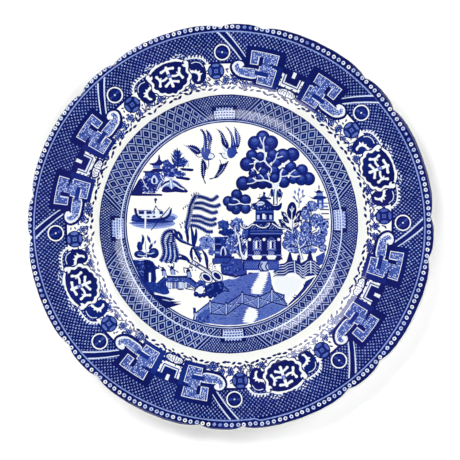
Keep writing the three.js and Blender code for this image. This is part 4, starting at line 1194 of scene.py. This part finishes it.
def right_side():
    """The far pavilion, the shrubs and trees at the right and the mounds below them."""
    # far pavilion
    limbs(0.85, 0.7, [[(55, 26.2), (55.1, 24)]])
    blob(0.9, [(51.8, 23.2), (53.2, 22.4), (55, 23.6), (57, 22.4), (58.2, 23.2), (57, 21.4), (53.4, 21.3)])
    blob(0.75, [(48.6, 19.6), (51, 18.6), (53, 19.8), (57.4, 19.8), (60, 18.8), (60.8, 19.8), (59, 17.8),
                (52, 17.4)])
    rect(0.3, 53.4, 19.6, 57.6, 21.4)
    rect(0.55, 53.8, 11.6, 58, 17.6)
    rect(0.12, 55.2, 12, 56.6, 16.6)
    for y, x in ((15, 55), (11, 55.6), (8.4, 56.4), (5, 57.4)):
        rect(0.85 if y < 14 else 0.5, x, y - 0.3, 61.4, y + 0.45)
    rect(0.35, 56.6, 12.4, 60.8, 13.6)
    # light shrubs
    for x, y, rx, ry in ((46.6, 8.4, 3.2, 4.4), (50.6, 13, 3.8, 3.6), (53.4, 4, 4.2, 4.6), (47, 0, 4, 4),
            (58.2, 1.6, 3, 3.4), (38.4, -6.4, 5.6, 5.6), (46.4, -7, 6, 5.6), (54.6, -7.6, 4.8, 5),
            (34.8, -10.4, 2.6, 3.4), (57.6, -3, 3, 2.8), (48, -14.4, 6, 2.2), (40, -14, 5, 2.4),
            (57.4, -13, 2.4, 2.4)):
        foliage(x, y, rx, ry, int(3.2 * rx * ry), (0.06, 0.75), 1, 0.36, 0.75)
    limbs(0.85, 0.45, [[(48.6, 12), (50.4, 9), (50.4, 5.6), (49, 2.8)], [(52, 8.4), (50.6, 6.2)],
            [(46, 4), (48.6, 2.8), (50, -1), (49.6, -4)], [(53.6, -1.4), (50.2, -3.4)],
            [(47.6, -9), (46.6, -11)]])
    for x, y, w in ((58.2, 2, 1.1), (56.6, -3.2, 1), (46.4, 12.6, 0.9)):
        disc(0.8, x, y, w, n=8)
    # tall tree with a round head
    blob(0.96, [(34.9, 9.4), (35.6, 13.4), (37.6, 15.8), (39.8, 15.2), (41, 12), (40.4, 7.6), (38.6, 4.6),
                (36.2, 5.6)])
    blob(0.75, [(36.8, 12.8), (38, 14.6), (39.4, 13.6), (38.8, 11.6), (37.4, 11.4)])
    for x, y, n, w, turn in ((33.4, 7.6, 4.6, 1.7, 128), (34.4, 4.4, 4.2, 1.6, 135),
            (31.9, 3.2, 4.2, 1.8, 140), (33.2, 0.4, 4.2, 1.8, 145), (42.2, 8.4, 4.2, 1.7, 55),
            (41.4, 4.8, 4.6, 1.8, 50), (43.2, 3.6, 2.6, 1.1, 40), (36, -1.4, 3.8, 1.6, 125),
            (40.8, 0.6, 3.8, 1.6, 48)):
        leaf(0.96, x, y, 1.45 * n, 1.75 * w, turn)
        leaf(0.12, x, y, 0.55 * n, 0.3, turn)
    limbs(0.05, 0.5, [[(38.2, 13), (38, 6), (38, 0), (38.6, -4)], [(38, 9.4), (36.8, 11.6)],
            [(38, 9.2), (39.4, 12)], [(38, 4), (35, 6.6), (33, 8.6)], [(38, 3.4), (41, 6), (42.6, 8.6)],
            [(38, 0), (34.6, 2), (31.8, 4.6)], [(38, -0.6), (41, 1.4), (43.4, 3.4)],
            [(38.2, -3), (35.4, -1.6), (32.6, 0)]])
    limbs(0.9, 0.35, [[(38.7, 4), (38.6, -1), (39.4, -4)]])
    # thin spray
    for x, y, n, turn in ((40, 22, 3, 100), (42.6, 23.4, 3, 82), (44.8, 22.4, 3, 70),
            (39.4, 18.6, 2.8, 125), (45.4, 19.4, 2.6, 30), (42, 20.6, 2.4, 100), (43.6, 16, 2.4, 80),
            (41.2, 16.4, 2.2, 130)):
        leaf(0.3, x, y, n, 1.3, turn)
        stroke(0.6, [(x, y - 0.4), (x + 0.2, y + 0.9)], 0.3)
    limbs(0.7, 0.38, [[(42.4, 12), (42.8, 16), (42, 19.6), (42.4, 22)],
            [(42.6, 17), (44.6, 19), (45, 21.4)], [(42.4, 15), (40.4, 17.6), (39.6, 19.6)]])
    # forked tree in front
    outlined([[(42.4, -13.4), (43.4, -17), (44.6, -20.6)]], 1, 0.04, 0.7, 0.3)
    limbs(0.9, 0.6, [[(42.4, -13.4), (39.4, -12.2), (36.4, -11.6)], [(43, -13.4), (46, -12), (51.6, -11.2)],
            [(41.6, -12.6), (41, -8.4), (38.6, -5.6)], [(41.2, -9.4), (42.6, -6), (42, -3.4)]])
    limbs(0.06, 0.5, [[(42.2, -13), (41.8, -8.6), (42.8, -4.6)], [(41.9, -9.6), (40.2, -7.4)],
            [(43.2, -12.8), (45.4, -11.2), (46.8, -8.6)]])
    # striped mounds
    for x, y, h in ((36.8, -15.6, 6), (42.2, -17.4, 8), (49.4, -14.8, 6.4)):
        paint(0.93, [(x - 0.5, y), (x + 0.5, y), (x + 2.2, y - h), (x - 2.2, y - h)])
    paint(0.6, [(39.4, -20.4), (34, -22.2), (28.8, -25), (26, -28.4), (32, -29.4), (39.6, -28.6)])
    paint(0.72, [(39.8, -20.4), (44, -22.4), (48, -20), (50.6, -20.2), (54, -23.6), (57, -26.6), (54, -30),
                 (46, -31), (40.4, -28.8)])
    for ink, drop, width in ((0.97, 0, 1.1), (0.1, 0.85, 0.5)):
        for k in range(5):
            y = -21.0 - 1.65 * k - drop
            stroke(ink, [(38.8, y), (35.6, y - 0.6), (33.4, y - 2.2), (30.8 - 0.6 * k, y - 2.4),
                         (28.6 - 0.6 * k, y - 3.6)], width, (0.7, 0.3))
            stroke(ink, [(40.8, y - 1.2), (42.8, y - 2), (44.4, y - 3.8), (46.8, y - 4.4)], width, (0.7, 0.4))
            stroke(ink, [(49.4, y + 0.4), (47.6, y - 0.2), (46.2, y - 1.8), (44.2, y - 2.2)], width,
                   (0.7, 0.3))
            stroke(ink, [(50.2, y + 0.4), (52.2, y - 0.4), (53.4, y - 1.8), (55.6, y - 2.6)], width,
                   (0.7, 0.3))
    limbs(0.06, 0.6, [[(39.6, -20.6), (39.8, -25), (40, -29.6)], [(49.8, -21), (50, -25), (50, -29)]])


def picture():
    """The scene in the well, from the farthest thing to the nearest."""
    first = len(SHAPES)
    birds()
    island()
    boat()
    ground()
    right_side()
    middle()
    main_house()
    apple_tree()
    left_tower()
    bridge()
    willow()
    fence()
    # the line that closes the picture, over whatever reaches out of it
    for a in range(0, 360, 2):
        paint(0.9, [mid(a, 64), mid(a + 2, 64), mid(a + 2, 64.6), mid(a, 64.6)])
    # the copper plate printed its middle tones heavily
    SHAPES[first:] = [(ink + TONE_GAIN * ink * (1 - ink), outline) for ink, outline in SHAPES[first:]]


def draw_print():
    """The whole print, from the rim to the middle."""
    rim_border()
    inner_band()
    picture()


# ---------------------------------------------------------------- mesh
COLUMNS, OUTER_RING_POINTS, INNER_RING_POINTS = 270, 160, 96
PRINT_EDGE = 126.97  # the print stops just short of the widest line
WELD = 1e-4  # points closer together than this are one
ROW = 1.0  # height of the strips in which outlines are looked up
# How far a point may bulge from the line between its neighbours and still be left out, and in how many
# passes; the two primes shuffle the order, so that no two neighbours leave in the same pass.
THINNING, THINNING_PASSES = 0.095, 14
SHUFFLE, SHUFFLE_SPAN = 7919, 10007
GUIDE_RINGS = (PLATE_RADIUS, 126.9, 126.75, 126.5, 126.2, 125.85, 125.5, 124.2, 121, 117, 113, 108, 103, 98,
        94, 92, 90.5, 89, 87.5, 86, 84.5, 83, 81.5, 80, 78, 76, 74, 72.5, 71, 69.5, 68, 66.5, 65, 63.5, 55,
        40, 20)
# Where the face and the underside lie on the flat map: middle and radius.
FACE_MAP = (0.46, 0.46, 0.455)
BACK_MAP = (0.868, 0.868, 0.115)


def edge_angles(count):
    """Angles round the plate, closer together where the lobes meet."""
    samples, crowding, sharpness = count * 8, 9, 6
    even = np.arange(samples) * 360.0 / samples
    bend = np.abs(np.gradient(np.gradient(scallop(even))))
    spacing = 1 + crowding * np.minimum(bend / bend.max() * sharpness, 1)
    gone = np.concatenate([[0], np.cumsum(spacing)])
    return np.interp(np.arange(count) * gone[-1] / count, gone, np.append(even, 360.0))


def ring_points(radius, angles):
    """Points of a ring, with as much of the scallop as the radius takes."""
    r = radius - scallop(angles) * reach(radius)
    return np.stack([r * np.cos(np.radians(angles)), r * np.sin(np.radians(angles))], 1)


def section_normals(profile):
    """Outward normals of a section that is walked with the plate on its left."""
    d = np.diff(profile, axis=0)
    d /= np.linalg.norm(d, axis=1)[:, None]
    mean = np.vstack([d[:1], d[:-1] + d[1:], d[-1:]])
    mean /= np.linalg.norm(mean, axis=1)[:, None]
    return np.stack([-mean[:, 1], mean[:, 0]], 1)


def surface_normals(xy, section):
    """Normals in space from the section's normals, leaning with the scallops."""
    step = 0.01
    gx = (round_radius(xy[:, 0] + step, xy[:, 1]) - round_radius(xy[:, 0] - step, xy[:, 1])) / (2 * step)
    gy = (round_radius(xy[:, 0], xy[:, 1] + step) - round_radius(xy[:, 0], xy[:, 1] - step)) / (2 * step)
    normal = np.stack([section[:, 0] * gx, section[:, 0] * gy, section[:, 1]], 1)
    return normal / np.linalg.norm(normal, axis=1)[:, None]


def flat_triangles(points, edges):
    """Points and triangles of a flat mesh that keeps every given edge."""
    edges = [(int(a), int(b)) for a, b in edges]
    points, _, triangles, _, _, _ = delaunay_2d_cdt([Vector(p) for p in points], edges, [], 0, WELD)
    return np.array([(p.x, p.y) for p in points]), np.array(triangles)


def closed_edges(loops, first=0):
    """Edges round each of several outlines whose points follow one another."""
    starts = first + np.concatenate([[0], np.cumsum([len(loop) for loop in loops])])
    return [(a + i, a + (i + 1) % (b - a)) for a, b in zip(starts, starts[1:]) for i in range(b - a)]


def painted(points, triangles, prints):
    """Ink of each triangle: that of the last outline that goes round its middle, or -1 off the plate."""
    middle = points[triangles].mean(axis=1)
    rows = {}
    for i, row in enumerate(np.floor(middle[:, 1] / ROW).astype(int)):
        rows.setdefault(row, []).append(i)
    for row, members in rows.items():
        members = np.array(members)
        rows[row] = members[np.argsort(middle[members, 0])]
    places = {row: middle[members, 0] for row, members in rows.items()}
    ink = np.where(round_radius(middle[:, 0], middle[:, 1]) < PLATE_RADIUS, 0.0, -1.0)
    for (shade, _), loop in zip(SHAPES, prints):
        a, b = loop, np.roll(loop, -1, axis=0)
        left, right = loop[:, 0].min(), loop[:, 0].max()
        for row in range(int(loop[:, 1].min() // ROW), int(loop[:, 1].max() // ROW) + 1):
            if row not in rows:
                continue
            near = rows[row][np.searchsorted(places[row], left):np.searchsorted(places[row], right)]
            touch = (np.minimum(a[:, 1], b[:, 1]) <= (row + 1) * ROW) & (np.maximum(a[:, 1],
                    b[:, 1]) >= row * ROW)
            p, q = a[touch], b[touch]
            x, y = middle[near, 0][:, None], middle[near, 1][:, None]
            side = (q[:, 0] - p[:, 0]) * (y - p[:, 1]) - (x - p[:, 0]) * (q[:, 1] - p[:, 1])
            up = (p[:, 1] <= y) & (q[:, 1] > y) & (side > 0)
            down = (p[:, 1] > y) & (q[:, 1] <= y) & (side < 0)
            ink[near[up.sum(axis=1) != down.sum(axis=1)]] = shade
    return ink


def sides_of(triangles):
    """The two ends of each triangle's first, second and third side."""
    return np.sort(np.concatenate([triangles[:, [0, 1]], triangles[:, [1, 2]], triangles[:, [2, 0]]]), axis=1)


def ink_borders(triangles, ink):
    """The edges that part one ink from another."""
    ends = sides_of(triangles)
    order = np.lexsort((ends[:, 1], ends[:, 0]))
    ends, shade = ends[order], np.tile(ink, 3)[order]
    same = (ends[1:] == ends[:-1]).all(axis=1)
    return ends[1:][same & (shade[1:] != shade[:-1])]


def thinned(points, edges):
    """The same lines without the points that barely turn them."""
    for _ in range(THINNING_PASSES):
        both_ways = np.concatenate([edges, edges[:, ::-1]])
        both_ways = both_ways[np.argsort(both_ways[:, 0], kind="stable")]
        count = np.bincount(both_ways[:, 0], minlength=len(points))
        first = np.cumsum(count) - count
        middle = np.flatnonzero(count == 2)
        a, b = both_ways[first[middle], 1], both_ways[first[middle] + 1, 1]
        ahead, aside = points[b] - points[a], points[middle] - points[a]
        length = np.maximum(np.linalg.norm(ahead, axis=1), 1e-9)
        bulge = np.abs(ahead[:, 0] * aside[:, 1] - ahead[:, 1] * aside[:, 0]) / length
        along = (ahead * aside).sum(axis=1) / length ** 2
        rank = np.full(len(points), np.inf)
        spare = (bulge < THINNING) & (along > 0) & (along < 1) & (a != b)
        rank[middle[spare]] = (middle[spare] * SHUFFLE) % SHUFFLE_SPAN
        goes = spare & (rank[middle] < rank[a]) & (rank[middle] < rank[b])
        gone = np.zeros(len(points), bool)
        gone[middle[goes]] = True
        edges = np.concatenate([edges[~gone[edges].any(axis=1)], np.stack([a[goes], b[goes]], 1)])
    return edges


def guide_ring(radius):
    """A ring that keeps the mesh even; the edge has the most points."""
    if radius == PLATE_RADIUS:
        count = COLUMNS
    else:
        count = OUTER_RING_POINTS if radius > 110 else INNER_RING_POINTS
    return ring_points(radius, edge_angles(count))


def face_mesh():
    """The face as flat triangles that follow the print: points, triangles and the ink of each."""
    rings = [guide_ring(radius) for radius in GUIDE_RINGS]
    outlines = np.concatenate([shape for _, shape in SHAPES])
    outlines *= np.minimum(1, PRINT_EDGE / round_radius(outlines[:, 0], outlines[:, 1]))[:, None]
    prints = np.split(outlines, np.cumsum([len(shape) for _, shape in SHAPES])[:-1])
    points, triangles = flat_triangles(outlines, closed_edges(prints))
    borders = thinned(points, ink_borders(triangles, painted(points, triangles, prints)))
    kept, borders = np.unique(borders, return_inverse=True)
    guides = np.concatenate(rings)
    edges = [(a + len(kept), b + len(kept)) for a, b in closed_edges(rings)] + borders.reshape(-1, 2).tolist()
    points, triangles = flat_triangles(np.concatenate([points[kept], guides]), edges)
    ink = painted(points, triangles, prints)
    return points, triangles[ink >= 0], ink[ink >= 0]


def angles_of(points):
    """Angle of each point round the plate."""
    return np.degrees(np.arctan2(points[:, 1], points[:, 0]))


def outer_points(points, triangles):
    """The points on the outline of a flat mesh, in order round it."""
    pairs, counts = np.unique(sides_of(triangles), axis=0, return_counts=True)
    edge = np.unique(pairs[counts == 1])
    return edge[np.argsort(angles_of(points[edge]) % 360)]


def walk_along(profile):
    """Length walked along a section at each of its points."""
    return np.concatenate([[0], np.cumsum(np.linalg.norm(np.diff(profile, axis=0), axis=1))])


def on_disc(xy, share, disc):
    """Flat map of points on a disc, by their share of the way from its middle to its edge."""
    r = np.maximum(np.hypot(xy[:, 0], xy[:, 1]), 1e-9)
    return np.stack([disc[0] + disc[2] * share * xy[:, 0] / r, disc[1] + disc[2] * share * xy[:, 1] / r], 1)


def raised_face(points, edge):
    """Places, normals and map of the face's points."""
    rounds = np.minimum(round_radius(points[:, 0], points[:, 1]), PLATE_RADIUS)
    rounds[edge] = PLATE_RADIUS
    face_normal = section_normals(FACE)
    section = np.stack([np.interp(rounds, FACE[:, 0], face_normal[:, k]) for k in (0, 1)], 1)
    on_lip = rounds > LIP_CENTRE[0]
    lean = np.clip((rounds[on_lip] - LIP_CENTRE[0]) / LIP, 0, 1)
    section[on_lip] = np.stack([lean, np.sqrt(1 - lean ** 2)], 1)
    walk = walk_along(FACE)
    share = np.interp(rounds, FACE[:, 0], walk) / walk[-1]
    return np.column_stack([points, height(rounds)]), surface_normals(points, section), on_disc(points,
            share, FACE_MAP)


def hung_back(outline):
    """Places, normals and shares of the way to the edge of the underside, ring by ring from the edge in."""
    back = back_profile()
    angles = angles_of(outline)
    walk = walk_along(back)
    whole = walk[-1] + back[-1, 0]
    place, normals, shares = [], [], []
    for (radius, z), normal, gone in zip(back[1:], section_normals(back)[1:], walk[1:]):
        ring = ring_points(radius, angles)
        place.append(np.column_stack([ring, np.full(len(ring), z)]))
        normals.append(surface_normals(ring, np.tile(normal, (len(ring), 1))))
        shares.append(np.full(len(ring), 1 - gone / whole))
    place.append(np.array([[0, 0, back[-1, 1]]]))
    normals.append(np.array([[0, 0, -1.0]]))
    shares.append(np.zeros(1))
    return np.vstack(place), np.vstack(normals), np.concatenate(shares)


def back_polygons(edge, first, centre):
    """Quads from ring to ring and triangles at the centre, hung from the face's outline."""
    rows = [edge] + [np.arange(start, start + len(edge)) for start in range(first, centre, len(edge))]
    polygons = []
    for upper, lower in zip(rows, rows[1:]):
        polygons += list(zip(upper, lower, np.roll(lower, -1), np.roll(upper, -1)))
    return polygons + [(a, centre, b) for a, b in zip(rows[-1], np.roll(rows[-1], -1))]


def add_map(mesh, front, front_map, back_map):
    """Lays the face out on a large disc and the underside on a small one."""
    corners = np.empty(len(mesh.loops), int)
    mesh.loops.foreach_get("vertex_index", corners)
    split = mesh.polygons[front].loop_start
    uv = back_map[corners]
    uv[:split] = front_map[corners[:split]]
    layer = mesh.uv_layers.new(name="OFBake")
    layer.data.foreach_set("uv", uv.ravel())


def build_plate():
    """The printed plate as one closed mesh."""
    points, triangles, inks = face_mesh()
    edge = outer_points(points, triangles)
    face_place, face_normals, face_map = raised_face(points, edge)
    back_place, back_normals, shares = hung_back(points[edge])
    place, normals = np.vstack([face_place, back_place]), np.vstack([face_normals, back_normals])
    polygons = [tuple(t) for t in triangles] + back_polygons(edge, len(points), len(place) - 1)

    mesh = bpy.data.meshes.new("plate_printed")
    mesh.from_pydata((place * MM).tolist(), [], [tuple(int(i) for i in p) for p in polygons])
    mesh.polygons.foreach_set("use_smooth", [True] * len(mesh.polygons))
    ink = mesh.attributes.new("ink", "FLOAT", "FACE")
    ink.data.foreach_set("value", np.concatenate([inks, np.zeros(len(polygons) - len(inks))]))
    add_map(mesh, len(inks), face_map, on_disc(place, np.concatenate([np.ones(len(points)), shares]),
            BACK_MAP))
    mesh.normals_split_custom_set_from_vertices(normals.tolist())
    mesh.update()
    piece = bpy.data.objects.new("plate_printed", mesh)
    bpy.context.scene.collection.objects.link(piece)
    return piece


# ---------------------------------------------------------------- materials
LAMP_SHARE = 0.895


def linear(rgb):
    """Screen colour, 0 to 255, as scene colour."""
    return tuple(((c / 255 + 0.055) / 1.055) ** 2.4 if c > 10 else c / 255 / 12.92 for c in rgb) + (1.0,)


def under_studio_light(rgb):
    """Colour of a surface that shows as this screen colour under these lamps."""
    return tuple(LAMP_SHARE * c for c in linear(rgb)[:3]) + (1.0,)


def node(tree, kind, inputs=(), **settings):
    """A shader node with its settings and inputs; an input may be a value or another node's output."""
    made = tree.nodes.new(kind)
    for name, value in settings.items():
        setattr(made, name, value)
    for name, value in dict(inputs).items():
        if isinstance(value, bpy.types.NodeSocket):
            tree.links.new(value, made.inputs[name])
        else:
            made.inputs[name].default_value = value
    return made


def mixed(tree, amount, under, over):
    """Colour that goes from one to the other by an amount."""
    settings = {0: amount, 6: under, 7: over}
    return node(tree, "ShaderNodeMix", settings, data_type="RGBA").outputs[2]


def ranged(tree, value, low, high, to_low, to_high):
    """A value moved from one range to another and held inside it."""
    settings = {"Value": value, "From Min": low, "From Max": high, "To Min": to_low, "To Max": to_high}
    return node(tree, "ShaderNodeMapRange", settings).outputs["Result"]


def sum_of(tree, a, operation, b, clamp=False):
    """One step of arithmetic."""
    made = node(tree, "ShaderNodeMath", {0: a, 1: b}, operation=operation, use_clamp=clamp)
    return made.outputs[0]


COBALT = ((0.0, (240, 241, 236)), (0.12, (202, 214, 240)), (0.3, (134, 155, 212)), (0.5, (84, 107, 182)),
          (0.7, (28, 57, 146)), (0.85, (4, 30, 115)), (1.0, (0, 12, 85)))
VIOLET, MILKY_BLUE, BISCUIT = (70, 60, 172), (206, 213, 236), (222, 214, 196)


def glazed_china(name):
    """White china under a clear glaze, printed in cobalt where the ink attribute says."""
    material = bpy.data.materials.new(name)
    material.use_nodes = True
    tree = material.node_tree
    shader = tree.nodes["Principled BSDF"]
    place = node(tree, "ShaderNodeTexCoord").outputs["Object"]
    ink = node(tree, "ShaderNodeAttribute", attribute_name="ink").outputs["Fac"]

    def noise(scale, detail=2.0, rough=0.5):
        """A noise pattern over the plate."""
        made = node(tree, "ShaderNodeTexNoise", {"Vector": place, "Scale": scale, "Detail": detail,
                "Roughness": rough})
        return made.outputs["Fac"]

    # the ink lies thicker and thinner over the plate, and stippled in its middle tones
    cloud = sum_of(tree, noise(34.0, 3.0), "SUBTRACT", 0.5)
    grain = sum_of(tree, noise(2600.0, 2.0, 0.7), "SUBTRACT", 0.5)
    middle = sum_of(tree, sum_of(tree, ink, "MULTIPLY", sum_of(tree, 1.0, "SUBTRACT", ink)), "MULTIPLY", 4.0)
    tone = sum_of(tree, sum_of(tree, grain, "MULTIPLY", 0.75), "MULTIPLY", middle)
    tone = sum_of(tree, tone, "ADD", sum_of(tree, sum_of(tree, cloud, "MULTIPLY", 0.42), "MULTIPLY", ink))
    tone = sum_of(tree, ink, "ADD", tone, clamp=True)
    ramp = node(tree, "ShaderNodeValToRGB", {"Fac": tone})
    stops = ramp.color_ramp.elements
    for position, _ in COBALT[1:-1]:
        stops.new(position)
    for stop, (_, shade) in zip(stops, COBALT):
        stop.color = under_studio_light(shade)
    # some stretches of the print fired more violet than others
    violet = ranged(tree, noise(19.0, 2.0), 0.5, 0.72, 0.0, 0.3)
    inked = sum_of(tree, tone, "MULTIPLY", sum_of(tree, 1.35, "SUBTRACT", tone))
    tinted = mixed(tree, sum_of(tree, violet, "MULTIPLY", inked), ramp.outputs["Color"],
            under_studio_light(VIOLET))
    # faint milky blue where ink bled into the glaze
    bled = ranged(tree, noise(60.0, 4.0, 0.6), 0.52, 0.8, 0.0, 0.14)
    bare = sum_of(tree, sum_of(tree, 1.0, "SUBTRACT", tone), "MULTIPLY", bled)
    colour = mixed(tree, bare, tinted, under_studio_light(MILKY_BLUE))
    # slow ripples and fine orange peel of the glaze
    ripple = node(tree, "ShaderNodeBump", {"Strength": 0.12, "Distance": 0.0006, "Height": noise(55.0, 2.0)})
    peel = node(tree, "ShaderNodeBump", {"Strength": 0.05, "Distance": 0.0001, "Height": noise(700.0, 2.0),
                                         "Normal": ripple.outputs["Normal"]})
    tree.links.new(peel.outputs["Normal"], shader.inputs["Normal"])
    gloss = ranged(tree, noise(120.0, 3.0), 0.0, 1.0, 0.05, 0.11)
    # the foot stands on a wiped, unglazed ring
    level = node(tree, "ShaderNodeSeparateXYZ", {0: place}).outputs["Z"]
    ragged_level = sum_of(tree, level, "ADD", sum_of(tree, noise(300.0), "MULTIPLY", 0.0004))
    unglazed = ranged(tree, ragged_level, 0.0004, 0.0006, 1.0, 0.0)
    rough = node(tree, "ShaderNodeMix", {0: unglazed, 2: gloss, 3: 0.75})
    tree.links.new(rough.outputs[0], shader.inputs["Roughness"])
    tree.links.new(mixed(tree, unglazed, colour, linear(BISCUIT)), shader.inputs["Base Color"])
    shader.inputs["IOR"].default_value = 1.42
    return material


def table_top(name):
    """A pale matt surface, cloudy by one part in a hundred."""
    material = bpy.data.materials.new(name)
    material.use_nodes = True
    tree = material.node_tree
    shader = tree.nodes["Principled BSDF"]
    place = node(tree, "ShaderNodeTexCoord").outputs["Object"]
    grain = node(tree, "ShaderNodeTexNoise", {"Vector": place, "Scale": 40.0, "Detail": 4.0})
    tree.links.new(ranged(tree, grain.outputs["Fac"], 0.0, 1.0, 0.99, 1.0), shader.inputs["Base Color"])
    shader.inputs["Roughness"].default_value = 0.9
    return material


# ---------------------------------------------------------------- scene
draw_print()
plate = build_plate()
plate.data.materials.append(glazed_china("cobalt_print_on_china"))
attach(plate, "root")
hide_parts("plate")

FLOOR_HALF = 2.5
corners = [(x * FLOOR_HALF, y * FLOOR_HALF, 0) for x, y in ((-1, -1), (1, -1), (1, 1), (-1, 1))]
floor_data = bpy.data.meshes.new("floor")
floor_data.from_pydata(corners, [], [(0, 1, 2, 3)])
floor = bpy.data.objects.new("floor", floor_data)
floor.data.materials.append(table_top("pale_table"))
bpy.context.scene.collection.objects.link(floor)


def lamp(name, place, size, power):
    """A square soft light that faces the plate."""
    data = bpy.data.lights.new(name, "AREA")
    data.size = size
    data.energy = power
    made = bpy.data.objects.new(name, data)
    made.location = place
    made.rotation_euler = (-Vector(place)).to_track_quat("-Z", "Y").to_euler()
    bpy.context.scene.collection.objects.link(made)


lamp("key", (-1.2, 1.2, 2.2), 1.2, 48)
lamp("right", (1.5, 0.7, 2.2), 1.2, 34)
lamp("front", (-0.3, -1.65, 2.2), 1.2, 32)
world = bpy.data.worlds.new("studio")
world.use_nodes = True
background = world.node_tree.nodes["Background"]
background.inputs["Color"].default_value = (0.95, 0.97, 1.0, 1.0)
background.inputs["Strength"].default_value = 0.2
bpy.context.scene.world = world
bpy.context.scene.view_settings.view_transform = "Standard"
